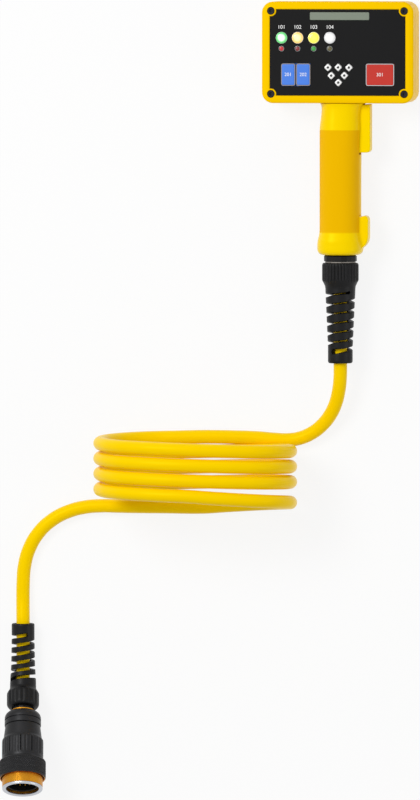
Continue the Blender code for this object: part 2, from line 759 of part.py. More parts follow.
    top = BOX_DEPTH - SCREW_SUNK
    edge = SCREW_HEAD / 10
    screw = turned("cover_screw", [
        (0.0, top), (SCREW_HEAD - edge, top), (SCREW_HEAD, top - edge),
        (SCREW_HEAD, top - SCREW_HEAD_DEEP), (SCREW_SHANK, top - SCREW_HEAD_DEEP),
        (SCREW_SHANK, COVER_TAP + GAP), (0.0, COVER_TAP + GAP)], 12)
    socket = prism("hex_socket", circle(HEX_SOCKET, 6), top - SCREW_HEAD_DEEP / 2, top + SCREW_HEAD_DEEP)
    for number, spot in enumerate(corner_places(COVER_SCREW_X, COVER_SCREW_Y), 1):
        name = f"cover_screw_{number}"
        thing = place(name, screw.copy(), black, location=spot, parent=head)
        cut(thing, place(name + "_socket", socket.copy(), None, location=spot, parent=head))


def key_solid(name, outline, flange, material, spot, head):
    """A key cap that passes through the panel, a flange that keeps it in and a stem to its switch."""
    face = PANEL_FACE + KEY_PROUD
    flange_top = PANEL_Z - GAP
    crown = [(x * KEY_CROWN_X, y * KEY_CROWN_Y) for x, y in outline]
    key = place(name, loft(name, [
        raised(flange, flange_top - FLANGE_THICK), raised(flange, flange_top),
        raised(outline, flange_top), raised(outline, face - KEY_PROUD / 3), raised(crown, face),
    ]), material, location=(spot[0], spot[1], 0.0), parent=head)
    half = STEM_SIDE / 2
    stem_low = BOARD_TOP + SWITCH_TALL + KEY_TRAVEL + GAP
    stem = block(name + "_stem", (-half, -half, stem_low), (half, half, flange_top - FLANGE_THICK / 2))
    join(key, place(name + "_stem", stem, None, location=(spot[0], spot[1], 0.0), parent=head))
    return key


def arrow_outline(side):
    """A square standing on its corner."""
    square = rounded(side, side, ARROW_ROUND, 1)
    return [((x - y) * math.sqrt(0.5), (x + y) * math.sqrt(0.5)) for x, y in square]


def make_keypad(materials, head):
    """Panel, display, lamps and keys, with the board and switches behind them."""
    panel_outline = notched(PANEL_WIDTH - 2 * GAP, PANEL_HEIGHT - 2 * GAP, COVER_BOSS + GAP)
    panel = place("front_panel", prism("front_panel", panel_outline, PANEL_Z, PANEL_FACE), materials["panel"],
                  parent=head)
    low = PANEL_Z - PANEL_THICK
    high = PANEL_FACE + PANEL_THICK
    pair_width = 2 * KEY_WIDTH + KEY_GAP + 2 * SLIDE_FIT
    key_hole_tall = KEY_HEIGHT + 2 * SLIDE_FIT
    hole_round = KEY_ROUND + SLIDE_FIT / 2
    display_hole = rounded(DISPLAY_WIDTH + 2 * GAP, DISPLAY_HEIGHT + 2 * GAP, DISPLAY_ROUND + GAP, 1)
    blue_hole = rounded(pair_width, key_hole_tall, hole_round, 2)
    red_hole = rounded(RED_KEY_WIDTH + 2 * SLIDE_FIT, key_hole_tall, hole_round, 2)
    cutters = [
        (prism("display_hole", display_hole, low, high), (DISPLAY_X, DISPLAY_Y, 0.0)),
        (prism("blue_hole", blue_hole, low, high), (BLUE_KEY_X, KEY_ROW_Y, 0.0)),
        (prism("red_hole", red_hole, low, high), (RED_KEY_X, KEY_ROW_Y, 0.0)),
    ]
    lamp_hole = prism("lamp_hole", circle(LAMP_RADIUS + GAP, 14), low, high)
    led_hole = prism("led_hole", circle(LED_RADIUS + GAP, 10), low, high)
    arrow_hole = prism("arrow_hole", arrow_outline(ARROW_SIDE + 2 * SLIDE_FIT), low, high)
    cutters += [(lamp_hole, (*spot, 0.0)) for spot in lamp_places(LAMP_Y)]
    cutters += [(led_hole, (*spot, 0.0)) for spot in lamp_places(LED_Y)]
    cutters += [(arrow_hole, (*spot, 0.0)) for spot in arrow_places()]
    openings = merged("panel_openings", [(mesh, Matrix.Translation(spot)) for mesh, spot in cutters])
    cut(panel, place("panel_openings", openings, None, parent=head))

    module_top = PANEL_Z - 2 * GAP
    window = rounded(DISPLAY_WIDTH, DISPLAY_HEIGHT, DISPLAY_ROUND, 1)
    place("display_window", prism("display_window", window, module_top + GAP, module_top + GAP + DISPLAY_THICK),
          materials["display"], location=(DISPLAY_X, DISPLAY_Y, 0.0), parent=head)
    half_x = DISPLAY_WIDTH / 2 + MODULE_OVERHANG
    half_y = DISPLAY_HEIGHT / 2
    place("display_module", block("display_module", (-half_x, -half_y, BOARD_TOP + GAP),
                                  (half_x, half_y, module_top)),
          materials["module"], location=(DISPLAY_X, DISPLAY_Y, 0.0), parent=head)

    flange_low = PANEL_Z - GAP - FLANGE_THICK
    dome = PANEL_FACE + KEY_PROUD
    base = 0.6 * LAMP_RADIUS
    lamp = turned("lamp", [
        (0.0, dome), (base, dome - 0.2 * KEY_PROUD), (LAMP_RADIUS, dome - 0.8 * KEY_PROUD),
        (LAMP_RADIUS, PANEL_Z - GAP), (LAMP_RADIUS + KEY_FLANGE, PANEL_Z - GAP),
        (LAMP_RADIUS + KEY_FLANGE, flange_low), (base, flange_low), (base, BOARD_TOP + GAP),
        (0.0, BOARD_TOP + GAP)], 14)
    for colour, (x, y) in zip(LAMP_COLOURS, lamp_places(LAMP_Y)):
        place("lamp_" + colour, lamp.copy(), materials["lamp_" + colour], location=(x, y, 0.0), parent=head)
    led = turned("led", [
        (0.0, PANEL_FACE + 0.7 * KEY_PROUD), (0.6 * LED_RADIUS, PANEL_FACE + 0.5 * KEY_PROUD),
        (LED_RADIUS, PANEL_FACE - GAP), (LED_RADIUS, BOARD_TOP + GAP), (0.0, BOARD_TOP + GAP)], 10)
    for number, (x, y) in enumerate(lamp_places(LED_Y), 1):
        place(f"status_led_{number}", led.copy(), materials["led"], location=(x, y, 0.0), parent=head)

    flange_tall = key_hole_tall + 2 * KEY_FLANGE
    blue_outline = rounded(KEY_WIDTH, KEY_HEIGHT, KEY_ROUND, 2)
    blue_flange = rounded(KEY_WIDTH + KEY_GAP - 2 * GAP, flange_tall, KEY_ROUND, 2)
    shift = (KEY_WIDTH + KEY_GAP) / 2
    key_solid("blue_key_left", blue_outline, blue_flange, materials["blue"],
              (BLUE_KEY_X - shift, KEY_ROW_Y), head)
    key_solid("blue_key_right", blue_outline, blue_flange, materials["blue"],
              (BLUE_KEY_X + shift, KEY_ROW_Y), head)
    red_outline = rounded(RED_KEY_WIDTH, KEY_HEIGHT, KEY_ROUND, 2)
    red_flange = rounded(RED_KEY_WIDTH + 2 * KEY_FLANGE + 2 * SLIDE_FIT, flange_tall, KEY_ROUND, 2)
    key_solid("red_key", red_outline, red_flange, materials["red"], (RED_KEY_X, KEY_ROW_Y), head)
    dot_hole = prism("dot", circle(ARROW_DOT, 6), PANEL_FACE, BOX_DEPTH + PANEL_FACE)
    for number, spot in enumerate(arrow_places(), 1):
        name = f"arrow_key_{number}"
        key = key_solid(name, arrow_outline(ARROW_SIDE), arrow_outline(ARROW_SIDE + KEY_FLANGE),
                        materials["arrow"], spot, head)
        cut(key, place(name + "_dot", dot_hole.copy(), None, location=(*spot, 0.0), parent=head))

    board = place("circuit_board", prism("circuit_board", rounded(BOARD_WIDTH, BOARD_HEIGHT, BOARD_ROUND, 2),
                                         BOARD_Z, BOARD_TOP), materials["board"], parent=head)
    board_corners = corner_places(BOARD_SCREW_X, BOARD_SCREW_Y)
    hole = prism("hole", circle(BOARD_SCREW_SHANK + GAP, 10), 0.0, BOX_DEPTH)
    cut(board, place("board_holes", scattered("board_holes", hole, board_corners), None, parent=head))
    half = SWITCH_SIDE / 2
    middle_z = (BOARD_Z + BOARD_TOP) / 2
    switch = block("switch", (-half, -half, middle_z), (half, half, BOARD_TOP + SWITCH_TALL))
    spots = [(BLUE_KEY_X - shift, KEY_ROW_Y), (BLUE_KEY_X + shift, KEY_ROW_Y), (RED_KEY_X, KEY_ROW_Y)]
    spots += arrow_places()
    join(board, place("key_switches", scattered("key_switches", switch, [(x, y, 0.0) for x, y in spots]),
                      None, parent=head))
    header_y = -BOX_HEIGHT / 2 - LOOM_HIGH_ROUTE[-1][1] + 3 * GAP
    header = block("board_header", (-HEADER_WIDE / 2, 0.0, BOARD_Z - HEADER_TALL),
                   (HEADER_WIDE / 2, HEADER_LONG, middle_z))
    join(board, place("board_header", header, None, location=(THROAT_X, header_y, 0.0), parent=head))
    head_low = BOARD_TOP + GAP
    head_high = head_low + BOARD_SCREW_SHANK
    screw = turned("board_screw", [
        (0.0, head_high), (0.7 * BOARD_POST, head_high), (0.8 * BOARD_POST, head_low),
        (BOARD_SCREW_SHANK, head_low), (BOARD_SCREW_SHANK, BOARD_TAP + GAP), (0.0, BOARD_TAP + GAP)], 10)
    for number, spot in enumerate(board_screw_places(), 1):
        place(f"board_screw_{number}", screw.copy(), materials["steel"], location=spot, parent=head)


def grip_ring(half_width, half_depth, drop, steps=28):
    """One section of the grip, a rounded oval across Y at a distance below the head."""
    power = 2.0 / GRIP_ROUNDNESS
    ring = []
    for step in range(steps):
        angle = 2 * math.pi * (step + 0.5) / steps
        side = math.cos(angle)
        up = math.sin(angle)
        ring.append((
            half_width * math.copysign(abs(side) ** power, side), BOX_BOTTOM - drop,
            GRIP_AXIS_Z + half_depth * math.copysign(abs(up) ** power, up),
        ))
    return ring


def grip_stations():
    """Half width, half depth and drop of each section, from the head to the rounded end."""
    end = GRIP_END_ROUND
    stations = [
        (NECK_HALF_WIDTH - NECK_TOP_INSET, NECK_HALF_DEPTH - NECK_TOP_INSET, GAP),
        (NECK_HALF_WIDTH, NECK_HALF_DEPTH, NECK_TOP_LONG),
        (NECK_HALF_WIDTH + 2 * NECK_EASE, NECK_HALF_DEPTH + NECK_EASE, NECK_FLARE / 2),
        (GRIP_HALF_WIDTH - NECK_EASE, GRIP_HALF_DEPTH - NECK_EASE / 2, NECK_FLARE),
        (GRIP_HALF_WIDTH, GRIP_HALF_DEPTH, 2 * NECK_FLARE),
        (GRIP_HALF_WIDTH, GRIP_HALF_DEPTH, BULB_START),
        ((GRIP_HALF_WIDTH + BULB_HALF_WIDTH) / 2, (GRIP_HALF_DEPTH + BULB_HALF_DEPTH) / 2,
         (BULB_START + BULB_FULL) / 2),
        (BULB_HALF_WIDTH, BULB_HALF_DEPTH, BULB_FULL),
    ]
    for angle in (0.0, 35.0, 65.0, 90.0):
        turn = math.radians(angle)
        inset = end * (1 - math.cos(turn))
        stations.append((BULB_HALF_WIDTH - inset, BULB_HALF_DEPTH - inset,
                         GRIP_LENGTH - end + end * math.sin(turn)))
    return stations


def cavity_stations():
    """The same for the grip's hollow, one wall inside."""
    wall = GRIP_WALL
    return [
        (NECK_HALF_WIDTH - wall, NECK_HALF_DEPTH - wall, GRIP_TOP_WALL),
        (GRIP_HALF_WIDTH - wall, GRIP_HALF_DEPTH - wall, NECK_FLARE),
        (GRIP_HALF_WIDTH - wall, GRIP_HALF_DEPTH - wall, BULB_START),
        (BULB_HALF_WIDTH - wall, BULB_HALF_DEPTH - wall, BULB_FULL),
        (BULB_HALF_WIDTH - wall - GRIP_END_ROUND / 3, BULB_HALF_DEPTH - wall - GRIP_END_ROUND / 3,
         GRIP_LENGTH - GRIP_FLOOR),
    ]


def lug_outline():
    """Side view of the finger stop: a saddle, a round tip and a heel that runs into the bulb."""
    tip_x = LUG_REACH - LUG_TIP_ROUND
    tip_y = -(LUG_TOP + LUG_TIP_ROUND)
    saddle_x = tip_x - LUG_SADDLE_BACK
    saddle_y = LUG_SADDLE_RISE - LUG_TOP
    heel_wide = LUG_REACH - LUG_HEEL_X
    heel_tall = LUG_BOTTOM - LUG_HEEL
    outline = arc(saddle_x, saddle_y, LUG_SADDLE_ROUND, 210.0, 320.0, 5)
    outline += arc(tip_x, tip_y, LUG_TIP_ROUND, 118.0, 0.0, 6)
    for step in range(7):
        turn = math.radians(-80.0 * step / 6)
        outline.append((LUG_HEEL_X + heel_wide * math.cos(turn), -LUG_HEEL + heel_tall * math.sin(turn)))
    outline += [(GRIP_HALF_WIDTH / 2, -LUG_BOTTOM), (GRIP_HALF_WIDTH / 2, -LUG_TOP)]
    return outline


def make_grip(paint, steel, grip):
    """Two half shells with the finger stop, joined by screws and bolted to the head."""
    pivot = (TRIGGER_PIVOT_X, -TRIGGER_PIVOT_DROP)
    deep = 2 * GRIP_HALF_DEPTH

    def upright(name, radius, x, y, low, high, steps=12):
        """A round bar along Z, at a place given from the grip's axis and the head."""
        mesh = turned(name, [(0.0, high), (radius, high), (radius, low), (0.0, low)], steps)
        return place(name, mesh, None, location=(x, y, GRIP_AXIS_Z), parent=grip)

    for name, side in (("grip_front", 1), ("grip_rear", -1)):
        shell = place(name, loft(name, [grip_ring(*station) for station in grip_stations()]), paint)
        lug = place(name + "_lug", prism(name + "_lug", lug_outline(), -LUG_HALF_DEPTH, LUG_HALF_DEPTH), None,
                    location=(0.0, 0.0, GRIP_AXIS_Z), parent=grip)
        bevel = lug.modifiers.new("edge", "BEVEL")
        bevel.width = LUG_EDGE
        bevel.segments = 2
        bevel.limit_method = "ANGLE"
        bevel.angle_limit = math.radians(60.0)
        join(shell, lug)
        reach = 4 * BOX_WIDTH
        seam = GRIP_AXIS_Z + side * GAP / 2
        span = (-reach, seam) if side > 0 else (seam, reach)
        other = block(name + "_split", (-reach, -reach, span[0]), (reach, reach, span[1]))
        cut(shell, place(name + "_split", other, None))
        cavity = place(name + "_cavity", loft(name + "_cavity", [
            grip_ring(*station, steps=20) for station in cavity_stations()]), None)
        cut(cavity, upright(name + "_pin_boss", PIN_BOSS, *pivot, -deep, deep))
        for number, drop in enumerate(GRIP_SCREW_DROPS):
            cut(cavity, upright(f"{name}_boss_{number}", GRIP_SCREW_BOSS, GRIP_SCREW_X, -drop,
                                -deep, deep))
        rib = block(name + "_rib", (SPRING_RIB_X - SPRING_RIB_THICK, -SPRING_DROP - SPRING_RIB_HALF, -deep),
                    (SPRING_RIB_X, -SPRING_DROP + SPRING_RIB_HALF, deep))
        cut(cavity, place(name + "_rib", rib, None, location=(0.0, 0.0, GRIP_AXIS_Z), parent=grip))
        if side < 0:
            half_long = TRIGGER_SWITCH_LONG / 2
            pad = block("switch_pad", (SPRING_RIB_X + GAP, -TRIGGER_SWITCH_DROP - half_long, -deep),
                        (SPRING_RIB_X + TRIGGER_SWITCH_TALL, -TRIGGER_SWITCH_DROP + half_long,
                         -TRIGGER_SWITCH_WIDE / 2 - GAP))
            cut(cavity, place("switch_pad", pad, None, location=(0.0, 0.0, GRIP_AXIS_Z), parent=grip))
        cut(shell, cavity)
        slot_half = TRIGGER_HALF_DEPTH + SLIDE_FIT
        slot = block(name + "_slot", (TRIGGER_PIVOT_X - TRIGGER_HUB - 2 * SLIDE_FIT,
                                      -TRIGGER_BOTTOM - TRIGGER_SWING, -slot_half),
                     (2 * TRIGGER_REACH, GRIP_TOP_WALL, slot_half))
        cut(shell, place(name + "_slot", slot, None, location=(0.0, 0.0, GRIP_AXIS_Z), parent=grip))
        pin_hole = TRIGGER_PIN_HALF + GAP
        cut(shell, upright(name + "_pin_hole", TRIGGER_PIN + PIN_FIT, *pivot, -pin_hole, pin_hole, PIN_STEPS))
        spigot_top = 3 * GRIP_FLOOR
        spigot = turned(name + "_spigot", [
            (0.0, spigot_top), (GLAND_SPIGOT + GAP, spigot_top), (GLAND_SPIGOT + GAP, -GRIP_FLOOR),
            (0.0, -GRIP_FLOOR)])
        gland_axis = empty(name + "_gland_axis", (0.0, GRIP_BOTTOM, GRIP_AXIS_Z),
                           Matrix.Rotation(-math.pi / 2, 4, "X"))
        cut(shell, place(name + "_spigot", spigot, None, parent=gland_axis))
        wall_axis = empty(name + "_wall_axis", (0.0, BOX_BOTTOM, 0.0), Matrix.Rotation(math.pi / 2, 4, "X"))
        if side < 0:
            throat_low = 2 * GRIP_TOP_WALL
            throat = turned("grip_throat", [
                (0.0, throat_low), (THROAT_RADIUS, throat_low), (THROAT_RADIUS, -GRIP_TOP_WALL),
                (0.0, -GRIP_TOP_WALL)], 12)
            cut(shell, place("grip_throat", throat, None, location=(THROAT_X, THROAT_Z, 0.0),
                             parent=wall_axis))
        tap = turned("tap", [
            (0.0, MOUNT_SCREW_LONG), (MOUNT_SCREW_SHANK + GAP, MOUNT_SCREW_LONG),
            (MOUNT_SCREW_SHANK + GAP, -GRIP_TOP_WALL), (0.0, -GRIP_TOP_WALL)], 10)
        taps = [(x, z, 0.0) for x, z in MOUNT_SCREW_PLACES if (z - GRIP_AXIS_Z) * side > 0]
        cut(shell, place(name + "_taps", scattered(name + "_taps", tap, taps), None, parent=wall_axis))
        for number, drop in enumerate(GRIP_SCREW_DROPS):
            bore_top = GRIP_SCREW_TIP_Z - GRIP_AXIS_Z + GAP
            cut(shell, upright(f"{name}_screw_{number}", GRIP_SCREW_SHANK + GAP, GRIP_SCREW_X, -drop,
                               -deep, bore_top, 10))
            if side < 0:
                floor = GRIP_SCREW_SUNK + GRIP_SCREW_HEAD_DEEP + GAP - GRIP_HALF_DEPTH
                cut(shell, upright(f"{name}_well_{number}", GRIP_SCREW_HEAD + GAP, GRIP_SCREW_X, -drop,
                                   -deep, floor))

    low = GRIP_AXIS_Z - GRIP_HALF_DEPTH + GRIP_SCREW_SUNK
    screw = turned("grip_screw", [
        (0.0, GRIP_SCREW_TIP_Z), (GRIP_SCREW_SHANK, GRIP_SCREW_TIP_Z),
        (GRIP_SCREW_SHANK, low + GRIP_SCREW_HEAD_DEEP), (GRIP_SCREW_HEAD, low + GRIP_SCREW_HEAD_DEEP),
        (GRIP_SCREW_HEAD, low), (0.0, low)], 12)
    socket = prism("grip_socket", circle(0.8 * GRIP_SCREW_SHANK, 6), low - GRIP_SCREW_HEAD_DEEP,
                   low + GRIP_SCREW_HEAD_DEEP / 2)
    for number, drop in enumerate(GRIP_SCREW_DROPS, 1):
        name = f"grip_screw_{number}"
        spot = (GRIP_SCREW_X, BOX_BOTTOM - drop, 0.0)
        cut(place(name, screw.copy(), steel, location=spot),
            place(name + "_socket", socket.copy(), None, location=spot))

    wall_axis = empty("mount_axis", (0.0, BOX_BOTTOM, 0.0), Matrix.Rotation(math.pi / 2, 4, "X"))
    seat = -BOX_WALL - GAP
    screw = turned("mount_screw", [
        (0.0, MOUNT_SCREW_LONG - GAP), (MOUNT_SCREW_SHANK, MOUNT_SCREW_LONG - GAP), (MOUNT_SCREW_SHANK, seat),
        (MOUNT_SCREW_HEAD, seat), (MOUNT_SCREW_HEAD, seat - MOUNT_SCREW_HEAD_DEEP),
        (0.0, seat - MOUNT_SCREW_HEAD_DEEP)], 10)
    for number, (x, z) in enumerate(MOUNT_SCREW_PLACES, 1):
        place(f"mount_screw_{number}", screw.copy(), steel, location=(x, z, 0.0), parent=wall_axis)


def trigger_outline():
    """Side view of the trigger about its pivot: a round hub, a flat pad and a rounded lower corner."""
    inner = TRIGGER_INNER - TRIGGER_PIVOT_X
    outer = TRIGGER_REACH - TRIGGER_PIVOT_X
    top = TRIGGER_PIVOT_DROP - TRIGGER_TOP
    bottom = TRIGGER_PIVOT_DROP - TRIGGER_BOTTOM
    outline = [(inner, bottom)]
    outline += arc(outer - TRIGGER_CORNER, bottom + TRIGGER_CORNER, TRIGGER_CORNER, -90.0, 0.0, 4)
    outline += [(outer, top)]
    outline += arc(0.0, 0.0, TRIGGER_HUB, 75.0, 270.0, 9)
    outline.append((inner, -1.6 * TRIGGER_HUB))
    return outline


def make_trigger(paint, steel, black):
    """Trigger on its pin, with its return spring and switch."""
    pivot = empty("trigger_pivot", (TRIGGER_PIVOT_X, BOX_BOTTOM - TRIGGER_PIVOT_DROP, GRIP_AXIS_Z))
    trigger = place("trigger", prism("trigger", trigger_outline(), -TRIGGER_HALF_DEPTH, TRIGGER_HALF_DEPTH),
                    paint, parent=pivot)
    bevel = trigger.modifiers.new("edge", "BEVEL")
    bevel.width = TRIGGER_EDGE
    bevel.segments = 1
    bevel.limit_method = "ANGLE"
    bevel.angle_limit = math.radians(60.0)
    bore = turned("trigger_bore", [
        (0.0, TRIGGER_REACH), (TRIGGER_PIN + PIN_FIT, TRIGGER_REACH),
        (TRIGGER_PIN + PIN_FIT, -TRIGGER_REACH), (0.0, -TRIGGER_REACH)], PIN_STEPS)
    cut(trigger, place("trigger_bore", bore, None, parent=pivot))
    pin = turned("trigger_pin", [
        (0.0, TRIGGER_PIN_HALF), (TRIGGER_PIN, TRIGGER_PIN_HALF), (TRIGGER_PIN, -TRIGGER_PIN_HALF),
        (0.0, -TRIGGER_PIN_HALF)], PIN_STEPS)
    place("trigger_pin", pin, steel, parent=pivot)

    start = SPRING_RIB_X + SPRING_WIRE + GAP
    end = TRIGGER_INNER - SPRING_WIRE - GAP
    steps = SPRING_TURNS * 8
    points = []
    for step in range(steps + 1):
        turn = 2 * math.pi * SPRING_TURNS * step / steps
        points.append((start + (end - start) * step / steps,
                       BOX_BOTTOM - SPRING_DROP + SPRING_RADIUS * math.cos(turn),
                       GRIP_AXIS_Z + SPRING_RADIUS * math.sin(turn)))
    tube("trigger_spring", points, SPRING_WIRE, steel, resolution=1)

    half_long = TRIGGER_SWITCH_LONG / 2
    half_wide = TRIGGER_SWITCH_WIDE / 2
    left = SPRING_RIB_X + 2 * GAP
    middle_y = BOX_BOTTOM - TRIGGER_SWITCH_DROP
    switch = place("trigger_switch", block(
        "trigger_switch", (left, -half_long, -half_wide),
        (left + TRIGGER_SWITCH_TALL - TRIGGER_BUTTON, half_long, half_wide)), black,
        location=(0.0, middle_y, GRIP_AXIS_Z))
    button = block("trigger_button", (left, -TRIGGER_BUTTON, -TRIGGER_BUTTON),
                   (left + TRIGGER_SWITCH_TALL, TRIGGER_BUTTON, TRIGGER_BUTTON))
    join(switch, place("trigger_button", button, None, location=(0.0, middle_y, GRIP_AXIS_Z)))


def spiral_section(bore, outer, half):
    """Section of the spiral bar, narrower outside, as radius and distance along the axis."""
    crest = 0.75 * half
    return [(bore, -half), (outer, -crest), (outer, crest), (bore, half)]


def spiral(name, axis_frame, start, end, turns, bar, outer_start, outer_end):
    """A tapering helical bar round an axis; axis_frame gives a point and three directions."""
    rings = []
    steps = round(turns * SPIRAL_STEPS)
    for step in range(steps + 1):
        share = step / steps
        turn = 2 * math.pi * turns * share
        outer = outer_start + (outer_end - outer_start) * share
        point, across, up, along = axis_frame(start + (end - start) * share)
        radial = across * math.cos(turn) + up * math.sin(turn)
        section = spiral_section(SPIRAL_BORE + GAP, outer, bar / 2)
        rings.append([point + radial * radius + along * shift for radius, shift in section])
    return loft(name, rings)


def straight_frame(distance):
    """The upper gland's axis: X, Z and the way from the grip to the lead."""
    return (Vector((0.0, GRIP_BOTTOM - distance, GRIP_AXIS_Z)), Vector((1.0, 0.0, 0.0)),
            Vector((0.0, 0.0, 1.0)), Vector((0.0, -1.0, 0.0)))


def make_gland(materials):
    """Upper gland: body, locknut, washer, seal and the dome nut with its spiral."""
    axis = empty("upper_gland_axis", (0.0, GRIP_BOTTOM, GRIP_AXIS_Z), Matrix.Rotation(math.pi / 2, 4, "X"))
    nut_end = GLAND_NUT_START + GLAND_NUT_LONG
    thread_end = nut_end - GLAND_THREAD_BACK
    bore = CORD_RADIUS + 2 * GAP
    place("gland_body", turned("gland_body", [
        (GLAND_COLLAR - EDGE, GAP), (GLAND_COLLAR, GAP + EDGE), (GLAND_COLLAR, GAP + GLAND_COLLAR_LONG),
        (GLAND_THREAD, GAP + GLAND_COLLAR_LONG), (GLAND_THREAD, thread_end), (GLAND_SPIGOT, thread_end),
        (GLAND_SPIGOT, nut_end - GLAND_NUT_LONG / 2), (bore, nut_end - GLAND_NUT_LONG / 2),
        (bore, -GLAND_SPIGOT_LONG), (GLAND_SPIGOT, -GLAND_SPIGOT_LONG), (GLAND_SPIGOT, GAP),
    ]), materials["black"], parent=axis)
    place("gland_seal", turned("gland_seal", ring_profile(
        CORD_RADIUS + GAP, GLAND_SPIGOT - GAP, nut_end - GLAND_NUT_LONG / 2 + GAP, thread_end), 16),
        materials["rubber"], parent=axis)
    low = GAP + GLAND_COLLAR_LONG + GAP
    place("gland_washer", turned("gland_washer", ring_profile(
        GLAND_THREAD + GAP, GLAND_WASHER, low, low + GLAND_WASHER_LONG)), materials["steel"], parent=axis)
    locknut = place("gland_locknut", prism("gland_locknut", circle(GLAND_LOCKNUT, 6, math.pi / 6),
                                           -GRIP_FLOOR - GAP - GLAND_LOCKNUT_LONG, -GRIP_FLOOR - GAP),
                    materials["brass"], parent=axis)
    cut(locknut, place("locknut_bore", prism("locknut_bore", circle(GLAND_SPIGOT + GAP, 20),
                                             -GRIP_LENGTH / 2, GAP), None, parent=axis))

    taper_end = nut_end + GLAND_TAPER_LONG
    throat_end = GLAND_THROAT_END
    shoulder = thread_end + GAP
    nut = place("gland_nut", turned("gland_nut", [
        (GLAND_NUT - EDGE, GLAND_NUT_START), (GLAND_NUT, GLAND_NUT_START + EDGE), (GLAND_NUT, nut_end - EDGE),
        (GLAND_NUT - EDGE, nut_end),
        ((GLAND_NUT + GLAND_THROAT) / 2 - EDGE / 2, (nut_end + taper_end) / 2),
        (GLAND_THROAT, taper_end), (GLAND_THROAT, throat_end), (SPIRAL_BORE, throat_end),
        (SPIRAL_BORE, shoulder), (GLAND_THREAD + GAP, shoulder), (GLAND_THREAD + GAP, GLAND_NUT_START),
    ], PLUG_STEPS), materials["black"], parent=axis)
    groove(nut, GLAND_NUT, GROOVE_DEEP, GROOVE_WIDTH, GLAND_GROOVES, GLAND_NUT_START - EDGE, nut_end - EDGE,
           axis)
    ring_start = throat_end + UPPER_SPIRAL_LONG
    bar = UPPER_SPIRAL_BAR
    helix = place("upper_spiral", spiral(
        "upper_spiral", straight_frame, throat_end - bar / 2 - GAP, ring_start + bar / 2 + GAP,
        UPPER_SPIRAL_TURNS + 1.0, bar, GLAND_THROAT - 2 * GAP, UPPER_SPIRAL_END - 2 * GAP), None)
    end_ring = place("upper_end_ring", turned("upper_end_ring", ring_profile(
        SPIRAL_BORE, UPPER_SPIRAL_END, ring_start, ring_start + UPPER_RING_LONG, EDGE)), None, parent=axis)
    join(nut, helix, end_ring)


def plug_directions():
    """Ways of the flat lead, of the plug's nose, and of the rise between them; the bend's angle."""
    level = Vector((0.0, -1.0, 0.0))
    along = Vector((
        math.cos(PLUG_TILT) * math.sin(PLUG_TURN), -math.cos(PLUG_TILT) * math.cos(PLUG_TURN),
        math.sin(PLUG_TILT),
    ))
    bend = level.angle(along)
    rise = (along - level * math.cos(bend)).normalized()
    return level, along, rise, bend


def plug_start():
    """Middle of the back of the plug's nut, so high that the flat spiral lies on the floor."""
    rise, bend = plug_directions()[2:]
    return Vector((PLUG_X, PLUG_Y, RELIEF_Z + PLUG_BEND * (1 - math.cos(bend)) * rise.z))


def relief_frame(distance):
    """Point and directions on the plug's axis, at a distance back from its nut: bent down, then flat."""
    level, along, rise, bend = plug_directions()
    across = level.cross(rise)
    tilt = bend - min(max(distance / PLUG_BEND, 0.0), bend)
    heading = level * math.cos(tilt) + rise * math.sin(tilt)
    point = plug_start()
    point -= level * PLUG_BEND * (math.sin(bend) - math.sin(tilt))
    point -= rise * PLUG_BEND * (math.cos(tilt) - math.cos(bend))
    if distance < 0.0:
        point -= along * distance
    point -= level * max(distance - PLUG_BEND * bend, 0.0)
    return point, across, heading.cross(across), -heading


def plug_ring(outline, reach):
    """An outline set across the plug's axis, at a reach forward of the back of its nut."""
    point, across, up = relief_frame(-reach)[:3]
    return [point + across * x + up * y for x, y in outline]


